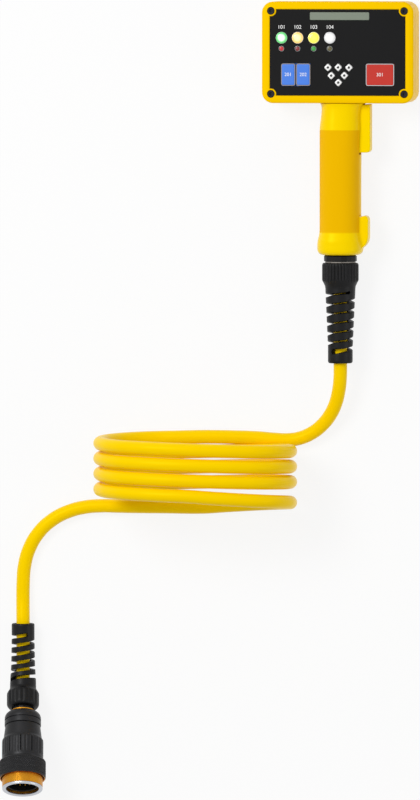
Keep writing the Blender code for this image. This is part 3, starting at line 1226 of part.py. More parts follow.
def make_plug(materials):
    """Circular plug with its bent spiral strain relief."""
    start, across, up, back = relief_frame(0.0)
    axis = empty("plug_axis", start, Matrix((across, up, -back)).transposed().to_4x4())
    black = materials["black"]
    bore = CORD_RADIUS + 2 * GAP

    seat = PLUG_NUT_LONG - PLUG_THREAD_LONG
    stations = (
        (LOWER_COLLAR, -LOWER_COLLAR_LONG), (LOWER_COLLAR, -LOWER_COLLAR_LONG / 2), (LOWER_COLLAR, -EDGE),
        (PLUG_NUT - EDGE / 2, 0.0), (PLUG_NUT, EDGE), (PLUG_NUT, PLUG_NUT_LONG - EDGE),
        (PLUG_NUT - EDGE, PLUG_NUT_LONG), (PLUG_NECK + 2 * GAP, PLUG_NUT_LONG), (PLUG_NECK + 2 * GAP, seat),
        (SPIRAL_BORE, seat), (SPIRAL_BORE, 0.0), (SPIRAL_BORE, -LOWER_COLLAR_LONG / 2),
        (SPIRAL_BORE, -LOWER_COLLAR_LONG),
    )
    nut = place("plug_strain_relief", loft("plug_strain_relief", [
        plug_ring(circle(radius, PLUG_STEPS), reach) for radius, reach in stations], closed=True), black)
    groove(nut, PLUG_NUT, GROOVE_DEEP / 2, GROOVE_WIDTH, PLUG_NUT_GROOVES, 0.0, PLUG_NUT_LONG + EDGE, axis)
    bar = LOWER_SPIRAL_BAR
    spiral_end = LOWER_COLLAR_LONG + LOWER_SPIRAL_LONG
    helix = place("lower_spiral", spiral(
        "lower_spiral", relief_frame, LOWER_COLLAR_LONG - bar / 2 - GAP, spiral_end + bar / 2 + GAP,
        LOWER_SPIRAL_TURNS + 1.0, bar, LOWER_COLLAR - 2 * GAP, LOWER_SPIRAL_END - 2 * GAP), None)
    point, across, up, back = relief_frame(spiral_end)
    ring_axis = empty("end_ring_axis", point, Matrix((across, up, -back)).transposed().to_4x4())
    end_ring = place("lower_end_ring", turned("lower_end_ring", ring_profile(
        SPIRAL_BORE, LOWER_SPIRAL_END, -LOWER_RING_LONG, 0.0, EDGE)), None, parent=ring_axis)
    join(nut, helix, end_ring)

    seal_end = PLUG_NUT_LONG - PLUG_SEAL_SEAT
    seal_wide = PLUG_NECK - PLUG_SEAL_WALL
    spigot_end = PLUG_NECK_END + PLUG_SPIGOT_LONG
    place("plug_gland_body", turned("plug_gland_body", [
        (PLUG_NECK, seat + GAP), (PLUG_NECK, PLUG_NECK_END), (PLUG_SPIGOT, PLUG_NECK_END),
        (PLUG_SPIGOT, spigot_end), (bore, spigot_end), (bore, seal_end),
        (seal_wide, seal_end), (seal_wide, seat + GAP),
    ], 16), black, parent=axis)
    place("plug_seal", turned("plug_seal", ring_profile(
        CORD_RADIUS + GAP, seal_wide - GAP, seat + GAP, seal_end - GAP), 16), materials["rubber"], parent=axis)
    low = PLUG_NECK_END + GAP
    place("plug_washer", turned("plug_washer", ring_profile(
        PLUG_SPIGOT + GAP, PLUG_WASHER, low, low + PLUG_WASHER_LONG)), materials["brass"], parent=axis)
    low += PLUG_WASHER_LONG + GAP
    spigot_hole = PLUG_SPIGOT + GAP
    shoulder = BACKSHELL - PLUG_WASHER
    groove_low = low + BACKSHELL_GROOVE
    place("backshell", turned("backshell", [
        (spigot_hole, low), (PLUG_WASHER, low), (PLUG_WASHER + 0.4 * shoulder, low + 0.12 * shoulder),
        (PLUG_WASHER + 0.75 * shoulder, low + 0.45 * shoulder), (BACKSHELL, low + shoulder),
        (BACKSHELL, groove_low), (BACKSHELL - GROOVE_DEEP, groove_low),
        (BACKSHELL - GROOVE_DEEP, groove_low + EDGE),
        (BACKSHELL, groove_low + EDGE), (BACKSHELL, BACKSHELL_END), (BACKSHELL - SHELL_WALL, BACKSHELL_END),
        (BACKSHELL - SHELL_WALL, low + shoulder + SHELL_WALL), (spigot_hole, low + 1.5 * SHELL_WALL),
    ], PLUG_STEPS), materials["anodised"], parent=axis)

    low = BACKSHELL_END + GAP
    shell_bore = SHELL_REAR - SHELL_WALL
    inner_bore = BARREL - BARREL_WALL
    flare_end = SHELL_WAIST_END + SHELL_FLARE
    shell = place("plug_shell", turned("plug_shell", [
        (shell_bore, low), (SHELL_REAR, low), (SHELL_WAIST, SHELL_WAIST_END), (SHELL_FLUTED, flare_end),
        (SHELL_FLUTED, SHELL_END), (inner_bore, SHELL_END), (inner_bore, SHELL_END - 2 * SHELL_WALL),
        (shell_bore, SHELL_END - 3 * SHELL_WALL),
    ], PLUG_STEPS), materials["anodised"], parent=axis)
    groove(shell, SHELL_FLUTED, GROOVE_DEEP, GROOVE_WIDTH, SHELL_FLUTES, flare_end, SHELL_END - SHELL_WALL,
           axis)
    neck = BARREL - COUPLING_LIP
    ring_start = SHELL_END + SLIDE_FIT
    lip_end = ring_start + COUPLING_LIP_LONG
    place("coupling_ring", turned("coupling_ring", [
        (COUPLING - EDGE, COUPLING_END), (COUPLING, COUPLING_END - EDGE), (COUPLING, ring_start + 2 * EDGE),
        (COUPLING - 2 * EDGE, ring_start), (neck + SLIDE_FIT, ring_start), (neck + SLIDE_FIT, lip_end),
        (COUPLING - COUPLING_WALL, lip_end), (COUPLING - COUPLING_WALL, COUPLING_END),
    ], PLUG_STEPS), materials["anodised"], parent=axis)
    place("plug_barrel", turned("plug_barrel", [
        (BARREL, BARREL_END), (BARREL, lip_end + SLIDE_FIT), (neck, lip_end + SLIDE_FIT),
        (neck, SHELL_END + GAP), (inner_bore, SHELL_END + GAP), (inner_bore, BARREL_END),
    ], PLUG_STEPS), materials["brass"], parent=axis)
    rim_end = BARREL_END + GAP + RIM_LONG
    place("barrel_rim", turned("barrel_rim", [
        (BARREL - EDGE / 2, rim_end), (BARREL, rim_end - EDGE / 2), (BARREL, BARREL_END + GAP),
        (inner_bore, BARREL_END + GAP), (inner_bore + EDGE, rim_end),
    ], PLUG_STEPS), materials["steel"], parent=axis)
    insert_low = INSERT_FACE - INSERT_LONG
    insert = place("pin_insert", turned("pin_insert", [
        (0.0, INSERT_FACE), (inner_bore - GAP, INSERT_FACE), (inner_bore - GAP, insert_low), (0.0, insert_low)],
        PLUG_STEPS), materials["black"], parent=axis)
    places = [(0.0, 0.0)] + circle(PIN_SPACING, 6) + circle(2 * PIN_SPACING, 12, math.pi / 12)
    pin = turned("contact_pin", [
        (0.0, PIN_TIP), (PIN_RADIUS, PIN_TIP - PIN_RADIUS), (PIN_RADIUS, INSERT_FACE - PIN_RADIUS),
        (0.0, INSERT_FACE - PIN_RADIUS)], 5)
    join(insert, place("contact_pins", scattered("contact_pins", pin, [(x, y, 0.0) for x, y in places]), None,
                       parent=axis))


def coil_side():
    """Half of the coil's centre line seen along Y, from the middle of the floor up to the crown."""
    half_flat = COIL_FLAT / 2
    floor = CORD_RADIUS
    middle = floor + COIL_END_ROUND
    crown_angle = math.degrees(math.asin(half_flat / (COIL_CROWN_ROUND - COIL_END_ROUND)))
    crown_z = middle - (COIL_CROWN_ROUND - COIL_END_ROUND) * math.cos(math.radians(crown_angle))
    side = [(0.0, floor)]
    side += arc(half_flat, middle, COIL_END_ROUND, -90.0, 90.0 - crown_angle, 10)
    side += arc(0.0, crown_z, COIL_CROWN_ROUND, 90.0 - crown_angle, 90.0, 3)[1:]
    return side


def coil_loop(offset):
    """Closed outline of one turn, moved out or in from its centre line by an offset."""
    side = coil_side()
    line = side + [(-x, z) for x, z in reversed(side[1:-1])]
    count = len(line)
    moved = []
    for index, (x, z) in enumerate(line):
        before = line[index - 1]
        after = line[(index + 1) % count]
        away = Vector((after[1] - before[1], before[0] - after[0])).normalized()
        moved.append((COIL_X + x + away.x * offset, z + away.y * offset))
    return moved


def make_lead(material, black):
    """Both free stretches of the lead, the coil between them and the wires inside the grip."""
    wall = CORD_RADIUS - LEAD_SLACK
    first = COIL_FIRST_Y + CORD_RADIUS
    last = COIL_LAST_Y - CORD_RADIUS
    rings = []
    for offset, y in ((wall, first), (wall, last), (-wall, last), (-wall, first)):
        rings.append([(x, y, z) for x, z in coil_loop(offset)])
    place("cord_coil", loft("cord_coil", rings, closed=True), material)

    start = straight_frame(GLAND_NUT_START + GLAND_NUT_LONG - GLAND_THREAD_BACK + GAP)[0]
    mouth = straight_frame(GLAND_REACH)[0]
    upper = [start, start.lerp(mouth, 0.5), mouth]
    upper += smooth_line([mouth, *[Vector(point) for point in UPPER_ROUTE]], ROUTE_STEP / 2)[1:]
    tube("cord_upper", upper, CORD_RADIUS, material)

    relief = LOWER_COLLAR_LONG + LOWER_SPIRAL_LONG + LOWER_RING_LONG
    inside = [relief_frame(relief * step / 7)[0] for step in range(7, -1, -1)]
    route = [Vector(point) for point in LOWER_ROUTE] + [inside[0]]
    lower = smooth_line(route, ROUTE_STEP / 2)[:-1] + inside
    lower.append(relief_frame(-LEAD_IN_PLUG)[0])
    tube("cord_lower", lower, CORD_RADIUS, material)

    loom = [Vector((0.0, GRIP_BOTTOM + GLAND_SPIGOT_LONG + GAP, GRIP_AXIS_Z))]
    loom += [Vector((x, GRIP_BOTTOM + rise, GRIP_AXIS_Z + z)) for x, rise, z in LOOM_LOW_ROUTE]
    loom += [Vector((x, BOX_BOTTOM - drop, GRIP_AXIS_Z + z)) for x, drop, z in LOOM_HIGH_ROUTE]
    tube("wiring_loom", smooth_line(loom, 3 * LOOM_RADIUS), LOOM_RADIUS, black)


def main():
    clear_scene()
    yellow = finish("yellow_plastic", (0.95, 0.62, 0.01), 0.35)
    steel = finish("plated_steel", (0.62, 0.62, 0.62), 0.3, 1.0)
    rubber = finish("black_rubber", (0.02, 0.02, 0.02), 0.8)
    black = finish("black_plastic", (0.025, 0.025, 0.027), 0.45)
    brass = finish("brass", (0.72, 0.48, 0.14), 0.3, 1.0)
    materials = {
        "black": black, "rubber": rubber, "steel": steel, "brass": brass,
        "anodised": finish("black_anodised", (0.03, 0.03, 0.032), 0.4, 0.6),
        "panel": finish("panel_film", (0.014, 0.014, 0.015), 0.5),
        "display": finish("display_glass", (0.25, 0.3, 0.27), 0.15),
        "module": finish("black_moulding", (0.03, 0.03, 0.03), 0.6),
        "board": finish("green_board", (0.02, 0.2, 0.06), 0.4),
        "led": finish("red_lens", (0.6, 0.02, 0.02), 0.2),
        "blue": finish("blue_key", (0.06, 0.2, 0.8), 0.4),
        "red": finish("red_key", (0.65, 0.05, 0.03), 0.4),
        "arrow": finish("white_key", (0.85, 0.85, 0.85), 0.45),
        "lamp_green": finish("green_lens", (0.3, 0.8, 0.35), 0.2),
        "lamp_amber": finish("amber_lens", (0.95, 0.75, 0.35), 0.2),
        "lamp_yellow": finish("yellow_lens", (0.95, 0.9, 0.15), 0.2),
        "lamp_white": finish("white_lens", (0.9, 0.9, 0.9), 0.2),
    }
    head = empty("head_frame", (0.0, BOX_MIDDLE, 0.0))
    grip = empty("grip_frame", (0.0, BOX_BOTTOM, 0.0))
    make_head(yellow, rubber, black, head)
    make_keypad(materials, head)
    make_grip(yellow, steel, grip)
    make_trigger(yellow, steel, black)
    make_gland(materials)
    make_plug(materials)
    make_lead(yellow, black)
    crease_all()
    bpy.context.view_layer.update()


main()
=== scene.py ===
"""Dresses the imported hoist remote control: a yellow keypad head on a pistol grip with a trigger, a spiral strain
relief, a coiled yellow lead and a circular multi-pin plug.

Laid out as an add-on and run as a script. Metres, +Z up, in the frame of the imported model.
"""
import json
import math

import bmesh
import bpy
from bpy.props import FloatProperty, IntProperty, PointerProperty
from mathutils import Matrix, Vector

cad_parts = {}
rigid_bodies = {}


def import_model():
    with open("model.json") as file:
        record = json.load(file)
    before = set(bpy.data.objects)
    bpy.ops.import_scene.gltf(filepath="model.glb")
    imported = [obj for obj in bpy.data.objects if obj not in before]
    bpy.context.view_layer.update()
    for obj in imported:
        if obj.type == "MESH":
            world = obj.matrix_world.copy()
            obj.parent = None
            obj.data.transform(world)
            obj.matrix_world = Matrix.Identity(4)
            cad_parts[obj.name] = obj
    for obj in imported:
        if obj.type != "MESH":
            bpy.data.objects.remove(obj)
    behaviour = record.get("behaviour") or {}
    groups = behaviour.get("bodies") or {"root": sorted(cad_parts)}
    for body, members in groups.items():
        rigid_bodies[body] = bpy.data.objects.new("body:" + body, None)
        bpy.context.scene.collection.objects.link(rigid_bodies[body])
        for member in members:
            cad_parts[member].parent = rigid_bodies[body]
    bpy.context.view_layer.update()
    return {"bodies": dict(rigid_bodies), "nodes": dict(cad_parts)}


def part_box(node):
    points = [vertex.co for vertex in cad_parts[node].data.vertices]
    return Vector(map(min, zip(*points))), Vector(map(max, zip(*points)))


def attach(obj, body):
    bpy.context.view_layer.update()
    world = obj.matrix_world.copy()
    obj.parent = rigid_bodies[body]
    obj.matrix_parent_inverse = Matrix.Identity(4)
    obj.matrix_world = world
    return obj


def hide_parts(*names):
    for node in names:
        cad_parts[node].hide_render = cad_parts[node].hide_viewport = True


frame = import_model()

bl_info = {
    "name": "Hoist Remote Control",
    "version": (1, 0, 0),
    "blender": (4, 5, 0),
    "location": "View3D > Sidebar > Hoist Remote",
    "description": "Dresses the packed hoist remote control with its housing, keypad, grip, reliefs, lead and plug",
    "category": "Object",
}

MM = 0.001
MATH = "ShaderNodeMath"

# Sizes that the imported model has, in metres
GAP = 0.0003
CORD_RADIUS = 0.0061
GRIP_AXIS_Z = 0.0220
HEAD_LOW, HEAD_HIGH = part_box("rear_housing")
FRAME_LOW, FRAME_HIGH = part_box("front_bezel")
PANEL_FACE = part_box("front_panel")[1].z
HEAD_MIDDLE = (HEAD_LOW.y + HEAD_HIGH.y) / 2
HEAD_BOTTOM = HEAD_LOW.y
GRIP_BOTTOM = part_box("gland_body")[1].y - 0.0140


# Colours and finishes

def linear(code):
    """Linear colour of an sRGB hex code, with alpha."""
    channels = [int(code[start:start + 2], 16) / 255 for start in (1, 3, 5)]
    return (*[c / 12.92 if c <= 0.04045 else ((c + 0.055) / 1.055) ** 2.4 for c in channels], 1.0)


def node(tree, kind, inputs=None, **settings):
    """Add a node with its settings; an input given as a node or a socket is linked, else it is a value."""
    made = tree.nodes.new(kind)
    for key, value in settings.items():
        setattr(made, key, value)
    for key, value in (inputs or {}).items():
        if isinstance(value, bpy.types.Node):
            value = value.outputs[0]
        if isinstance(value, bpy.types.NodeSocket):
            tree.links.new(value, made.inputs[key])
        else:
            made.inputs[key].default_value = value
    return made


def surface(name, main, second, rough, blotch, grain, deep, metallic=0.0, stretch=(1.0, 1.0, 1.0), **sockets):
    """A finish with cloudy colour, uneven gloss and a fine grain; sizes are in millimetres."""
    material = bpy.data.materials.new(name)
    material.use_nodes = True
    tree = material.node_tree
    shader = tree.nodes["Principled BSDF"]
    shader.inputs["Metallic"].default_value = metallic
    for key, value in sockets.items():
        shader.inputs[key.replace("_", " ")].default_value = value
    where = node(tree, "ShaderNodeTexCoord").outputs["Object"]
    where = node(tree, "ShaderNodeMapping", {"Vector": where, "Scale": stretch})
    cloud = node(tree, "ShaderNodeTexNoise", {"Vector": where, "Scale": 1 / (blotch * MM), "Detail": 3.0})
    grit = node(tree, "ShaderNodeTexNoise", {"Vector": where, "Scale": 1 / (grain * MM), "Detail": 2.0})
    tint = node(tree, "ShaderNodeMix", {0: cloud, 6: linear(main), 7: linear(second)}, data_type="RGBA")
    gloss = node(tree, "ShaderNodeMapRange", {0: grit, 1: 0.3, 2: 0.7, 3: rough[0], 4: rough[1]})
    relief = node(tree, "ShaderNodeBump", {"Height": grit, "Distance": deep * MM, "Strength": 1.0})
    tree.links.new(tint.outputs[2], shader.inputs["Base Color"])
    tree.links.new(gloss.outputs[0], shader.inputs["Roughness"])
    tree.links.new(relief.outputs[0], shader.inputs["Normal"])
    return material


YELLOW = ("#FFCF00", "#FFC900")
GOLDEN = (1.0, 0.84, 0.03, 1.0)


def plain_finishes():
    """The finishes that several pieces share."""
    return {
        # Injection-moulded ABS: a strong yellow with a soft gloss and a very fine mould texture
        "abs": surface("yellow_abs_moulded", *YELLOW, (0.30, 0.40), 40, 0.5, 0.012, Specular_Tint=GOLDEN,
                       Specular_IOR_Level=0.1),
        # The trigger, moulded in a slightly lighter yellow
        "light": surface("yellow_abs_light", "#FFE000", "#FFDA00", (0.30, 0.40), 40, 0.5, 0.012, Specular_Tint=GOLDEN,
                         Specular_IOR_Level=0.2),
        # Extruded PVC sheath: smooth, a little waxy
        "sheath": surface("yellow_pvc_sheath", "#FFD800", "#FFD200", (0.27, 0.36), 60, 1.2, 0.01,
                          Specular_Tint=GOLDEN, Specular_IOR_Level=0.2),
        # Glass-filled nylon: near black, fine grain and a broad sheen
        "nylon": surface("black_nylon_moulded", "#08080A", "#0D0D0E", (0.36, 0.48), 9, 0.35, 0.02,
                         Specular_IOR_Level=0.18),
        # Hard anodised aluminium: charcoal with a metallic sheen and faint turning marks
        "anodised": surface("black_anodised_aluminium", "#222224", "#1A1A1C", (0.34, 0.46), 12, 0.3, 0.01, 0.6),
        # Oxide-blacked steel, slightly oily
        "black_steel": surface("blackened_steel", "#2E3038", "#1C1D22", (0.25, 0.4), 3, 0.3, 0.008, 0.9),
        # Zinc plating: bright grey with a faint blue cast
        "steel": surface("zinc_plated_steel", "#C9CBD0", "#B2B5BC", (0.22, 0.34), 4, 0.3, 0.008, 1.0),
        # Stamped washer, dulled by handling
        "dull_steel": surface("dull_steel", "#8C8780", "#767069", (0.4, 0.55), 4, 0.3, 0.008, 0.7),
        # Turned brass, lightly tarnished
        "brass": surface("turned_brass", "#D89A2B", "#B87B1D", (0.26, 0.4), 6, 0.25, 0.012, 1.0),
        # Gold flash on contacts
        "gold": surface("gold_plated_contact", "#F0B23C", "#DE9E2E", (0.18, 0.28), 2, 0.2, 0.004, 1.0),
        # Polyester keypad film: black and matt, with a faint orange-peel
        "film": surface("black_polyester_film", "#101011", "#0C0C0D", (0.50, 0.60), 25, 0.8, 0.01,
                        Specular_IOR_Level=0.11),
        # EPDM seals: dusty black
        "rubber": surface("black_epdm_rubber", "#1A1A1A", "#222222", (0.75, 0.9), 5, 0.4, 0.03),
        # Fibreglass board under green solder mask
        "board": surface("green_solder_mask", "#0E5A2E", "#0B4A25", (0.3, 0.42), 8, 0.5, 0.01),
        # Liquid crystal behind a hard-coated window: grey-green with faint rows
        "lcd": surface("grey_green_lcd", "#7F8878", "#758070", (0.3, 0.4), 4, 0.6, 0.004, stretch=(0.05, 1.0, 1.0)),
        # Rims of the keys: grey-brown on the blue ones, pale cyan-grey on the red one; a painted highlight where the
        # moulded edges catch the light
        "taupe": surface("taupe_ink", "#A89C93", "#9C9087", (0.5, 0.6), 5, 0.4, 0.006),
        "pale": surface("pale_grey_ink", "#C9D3D5", "#BCC7CA", (0.5, 0.6), 5, 0.4, 0.006),
        # Silkscreen ink and white keys
        "white": surface("white_silicone", "#FFFFFF", "#F4F4F2", (0.5, 0.6), 6, 0.4, 0.01),
    }


NODE_FINISHES = {
    "rear_housing": "abs", "front_bezel": "abs", "front_panel": "film", "housing_gasket": "rubber",
    "grip_front": "abs", "grip_rear": "abs", "trigger": "abs", "circuit_board": "board",
    "display_module": "film", "gland_body": "nylon", "gland_nut": "nylon", "gland_seal": "rubber",
    "gland_washer": "dull_steel", "gland_locknut": "brass", "wiring_loom": "nylon", "trigger_switch": "nylon",
    "trigger_pin": "steel", "trigger_spring": "steel", "plug_strain_relief": "nylon",
    "plug_gland_body": "nylon", "plug_seal": "rubber", "plug_washer": "brass", "backshell": "anodised",
    "plug_shell": "anodised", "coupling_ring": "anodised", "plug_barrel": "brass", "barrel_rim": "steel",
    "pin_insert": "nylon", "display_window": "lcd", "board_screw_1": "steel", "board_screw_2": "steel",
    "grip_screw_1": "steel", "grip_screw_2": "steel", "mount_screw_1": "steel", "mount_screw_2": "steel",
    "mount_screw_3": "steel",
}


# Shapes

def new_object(name, mesh, *materials):
    thing = bpy.data.objects.new(name, mesh)
    bpy.context.scene.collection.objects.link(thing)
    for material in materials:
        mesh.materials.append(material)
    return thing


def lofted(name, rings, closed=False, matrix=None):
    """Skin rings of points; open ends get a cap, and a closed one joins its last ring to its first."""
    bm = bmesh.new()
    loops = [[bm.verts.new(point) for point in ring] for ring in rings]
    pairs = list(zip(loops, loops[1:]))
    if closed:
        pairs.append((loops[-1], loops[0]))
    for lower, upper in pairs:
        for index in range(len(lower)):
            after = (index + 1) % len(lower)
            bm.faces.new((lower[index], lower[after], upper[after], upper[index]))
    if not closed:
        bm.faces.new(loops[0])
        bm.faces.new(loops[-1])
    bmesh.ops.remove_doubles(bm, verts=bm.verts, dist=1e-7)
    bmesh.ops.recalc_face_normals(bm, faces=bm.faces)
    if matrix:
        bmesh.ops.transform(bm, matrix=matrix, verts=bm.verts)
    mesh = bpy.data.meshes.new(name)
    bm.to_mesh(mesh)
    bm.free()
    return mesh


def raised(outline, z):
    return [(x, y, z) for x, y in outline]


def circle(radius, steps, phase=0.0):
    turns = [phase + 2 * math.pi * step / steps for step in range(steps)]
    return [(radius * math.cos(turn), radius * math.sin(turn)) for turn in turns]


def round_edge(outline, edge, z, steps):
    """Rings that round an edge by its radius; the outline is a function of how far it has moved."""
    rings = []
    for step in range(steps + 1):
        turn = math.radians(90.0 * step / steps)
        rings.append(raised(outline(edge - edge * math.cos(turn)), z + edge * math.sin(turn)))
    return rings


def prism(name, outline, low, high, matrix=None):
    return lofted(name, [raised(outline, low), raised(outline, high)], matrix=matrix)


def lathe(name, profile, steps=96, matrix=None):
    """Turn a profile of (radius, height) round Z; one that starts and ends on the axis is solid."""
    solid = profile[0][0] == 0.0 and profile[-1][0] == 0.0
    line = profile[1:-1] if solid else profile
    rings = [raised(circle(radius, steps), height) for radius, height in line]
    return lofted(name, rings, not solid, matrix)


def rounded(width, height, radius, steps=8):
    """Outline of a rectangle with round corners, anticlockwise from its right side."""
    outline = []
    for corner, (side_x, side_y) in enumerate(((1, 1), (-1, 1), (-1, -1), (1, -1))):
        for step in range(steps + 1):
            angle = math.radians(90.0 * (corner + step / steps))
            outline.append((side_x * (width / 2 - radius) + radius * math.cos(angle),
                            side_y * (height / 2 - radius) + radius * math.sin(angle)))
    return outline


def boolean(target, operation, *tools):
    """Cut or join tools, given as meshes, into an object at once."""
    for mesh in tools:
        other = new_object("tool", mesh)
        modifier = target.modifiers.new("boolean", "BOOLEAN")
        modifier.operation = operation
        modifier.solver = "MANIFOLD"
        modifier.object = other
        settle(target)
        bpy.data.objects.remove(other)
    return target


def settle(thing):
    """Turn an object with modifiers into a plain mesh."""
    bpy.context.view_layer.update()
    evaluated = thing.evaluated_get(bpy.context.evaluated_depsgraph_get())
    mesh = bpy.data.meshes.new_from_object(evaluated)
    thing.modifiers.clear()
    thing.data = mesh
    return thing


def polish(thing, crease=35.0):
    """Smooth shading up to an angle, with normals that follow the large faces."""
    thing.data.shade_smooth()
    thing.data.set_sharp_from_angle(angle=math.radians(crease))
    modifier = thing.modifiers.new("normals", "WEIGHTED_NORMAL")
    modifier.keep_sharp = True
    return settle(thing)


def dress(thing, material):
    """Give an object one material all over."""
    thing.data.materials.clear()
    thing.data.materials.append(material)
    return thing


def bar(radius, start, end, steps=32):
    """A round bar between two points."""
    start, end = Vector(start), Vector(end)
    turn = (end - start).to_track_quat("Z", "Y").to_matrix().to_4x4()
    return prism("bar", circle(radius, steps), 0.0, (end - start).length, Matrix.Translation(start) @ turn)


def block(low, high):
    """A box between two corners."""
    outline = ((low[0], low[1]), (high[0], low[1]), (high[0], high[1]), (low[0], high[1]))
    return prism("block", outline, low[2], high[2])


def hand_in(thing, slot, *nodes, body="handset"):
    """Tell the frame which body a finished piece rides on and hide the nodes that it takes the place of; the slot is
    not used.
    """
    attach(thing, body)
    if nodes:
        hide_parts(*nodes)
    return thing


def text_mesh(words, height, thick, place):
    """Raised print as a closed mesh: figures standing on the XY plane about a place."""
    curve = bpy.data.curves.new("print", "FONT")
    curve.body = words
    curve.size = height / 0.72
    curve.align_x = "CENTER"
    curve.align_y = "CENTER"
    curve.extrude = thick / 2
    thing = bpy.data.objects.new("print", curve)
    bpy.context.scene.collection.objects.link(thing)
    bpy.context.view_layer.update()
    mesh = bpy.data.meshes.new_from_object(thing.evaluated_get(bpy.context.evaluated_depsgraph_get()))
    bpy.data.objects.remove(thing)
    bm = bmesh.new()
    bm.from_mesh(mesh)
    bmesh.ops.remove_doubles(bm, verts=bm.verts, dist=1e-6)
    bmesh.ops.recalc_face_normals(bm, faces=bm.faces)
    bmesh.ops.transform(bm, matrix=Matrix.Translation(place), verts=bm.verts)
    bm.to_mesh(mesh)
    bm.free()
    return mesh


def merged(name, meshes):
    """One mesh of several separate ones."""
    bm = bmesh.new()
    for mesh in meshes:
        bm.from_mesh(mesh)
    mesh = bpy.data.meshes.new(name)
    bm.to_mesh(mesh)
    bm.free()
    return mesh


def smooth_points(points, spacing):
    """Even points on a smooth curve through a list of points."""
    knots = [Vector(point) for point in points]
    padded = [2 * knots[0] - knots[1], *knots, 2 * knots[-1] - knots[-2]]
    fine = []
    for before, start, end, after in zip(padded, padded[1:], padded[2:], padded[3:]):
        for step in range(12):
            share = step / 12
            square, cube = share ** 2, share ** 3
            fine.append(start * (2 * cube - 3 * square + 1) + (end - before) * 0.5 * (cube - 2 * square + share)
                        + end * (3 * square - 2 * cube) + (after - start) * 0.5 * (cube - square))
    fine.append(knots[-1])
    lengths = [0.0]
    for first, second in zip(fine, fine[1:]):
        lengths.append(lengths[-1] + (second - first).length)
    count = max(2, round(lengths[-1] / spacing))
    even, index = [], 0
    for step in range(count + 1):
        goal = lengths[-1] * step / count
        while index < len(fine) - 2 and lengths[index + 1] < goal:
            index += 1
        even.append(fine[index].lerp(fine[index + 1], (goal - lengths[index]) / (lengths[index + 1] - lengths[index])))
    return even


# Geometry node trees for what repeats or follows a rule

def new_tree(name, **inputs):
    """A geometry tree with a mesh in and out, named number inputs and a material; gives the input node's sockets."""
    tree = bpy.data.node_groups.new(name, "GeometryNodeTree")
    tree.interface.new_socket("Geometry", in_out="OUTPUT", socket_type="NodeSocketGeometry")
    tree.interface.new_socket("Geometry", in_out="INPUT", socket_type="NodeSocketGeometry")
    for label, value in inputs.items():
        socket = tree.interface.new_socket(label, in_out="INPUT", socket_type="NodeSocketFloat")
        socket.default_value = value
    tree.interface.new_socket("Material", in_out="INPUT", socket_type="NodeSocketMaterial")
    return tree, tree.nodes.new("NodeGroupInput").outputs


def end_tree(tree, given, geometry):
    """Close a tree: real meshes with the material set."""
    real = node(tree, "GeometryNodeRealizeInstances", {0: geometry})
    painted = node(tree, "GeometryNodeSetMaterial", {"Geometry": real, "Material": given["Material"]})
    tree.links.new(painted.outputs[0], tree.nodes.new("NodeGroupOutput").inputs[0])
    return tree


def add_tree(thing, tree, **values):
    """Put a tree on an object as a modifier, with its inputs set by identifier."""
    modifier = thing.modifiers.new(tree.name, "NODES")
    modifier.node_group = tree
    for item in tree.interface.items_tree:
        if item.in_out == "INPUT" and item.name in values:
            modifier[item.identifier] = values[item.name]
    return thing


def knurl_tree():
    """Presses grooves into a turned mesh about Z: straight ones make ribs, slanted ones cross into diamonds."""
    tree, given = new_tree("knurl", Radius=0.02, Count=30.0, Slant=0.0, Sharpness=1.0, Depth=0.0005, Phase=0.0,
                           Middle=0.0, Half=0.01)
    where = node(tree, "GeometryNodeInputPosition")
    axes = node(tree, "ShaderNodeSeparateXYZ", {0: where}).outputs
    turn = node(tree, MATH, {0: axes["X"], 1: axes["Y"]}, operation="ARCTAN2")
    share = node(tree, MATH, {0: given["Count"], 1: 2 * math.pi}, operation="DIVIDE")
    lines = node(tree, MATH, {0: turn, 1: share, 2: given["Phase"]}, operation="MULTIPLY_ADD")
    slope = node(tree, MATH, {0: axes["Z"], 1: given["Slant"]}, operation="MULTIPLY")
    heights = []
    for hand in ("ADD", "SUBTRACT"):
        place = node(tree, MATH, {0: lines, 1: slope}, operation=hand)
        ridge = node(tree, MATH, {0: place, 1: 0.5}, operation="PINGPONG")
        ridge = node(tree, MATH, {0: ridge, 1: 2.0}, operation="MULTIPLY")
        heights.append(node(tree, MATH, {0: ridge, 1: given["Sharpness"]}, operation="MULTIPLY", use_clamp=True))
    lower = node(tree, MATH, {0: heights[0], 1: heights[1]}, operation="MINIMUM")
    dip = node(tree, MATH, {0: 1.0, 1: lower}, operation="SUBTRACT")
    dip = node(tree, MATH, {0: dip, 1: 2.0}, operation="POWER")
    dip = node(tree, MATH, {0: dip, 1: given["Depth"]}, operation="MULTIPLY")
    limit = node(tree, MATH, {0: given["Radius"], 1: dip}, operation="SUBTRACT")
    flat = node(tree, "ShaderNodeVectorMath", {0: where, 1: (1.0, 1.0, 0.0)}, operation="MULTIPLY")
    reach = node(tree, "ShaderNodeVectorMath", {0: flat}, operation="LENGTH").outputs["Value"]
    factor = node(tree, MATH, {0: limit, 1: reach}, operation="DIVIDE")
    factor = node(tree, MATH, {0: factor, 1: 1.0}, operation="MINIMUM")
    scale = node(tree, "ShaderNodeCombineXYZ", {0: factor, 1: factor, 2: 1.0})
    moved = node(tree, "ShaderNodeVectorMath", {0: where, 1: scale}, operation="MULTIPLY")
    level = node(tree, MATH, {0: axes["Z"], 1: given["Middle"], 2: given["Half"]}, operation="COMPARE")
    outside = node(tree, MATH, {0: reach, 1: given["Radius"], 2: 0.0020}, operation="COMPARE")
    chosen = node(tree, MATH, {0: level, 1: outside}, operation="MULTIPLY")
    shaped = node(tree, "GeometryNodeSetPosition", {
        "Geometry": given["Geometry"], "Selection": chosen, "Position": moved})
    return end_tree(tree, given, shaped)


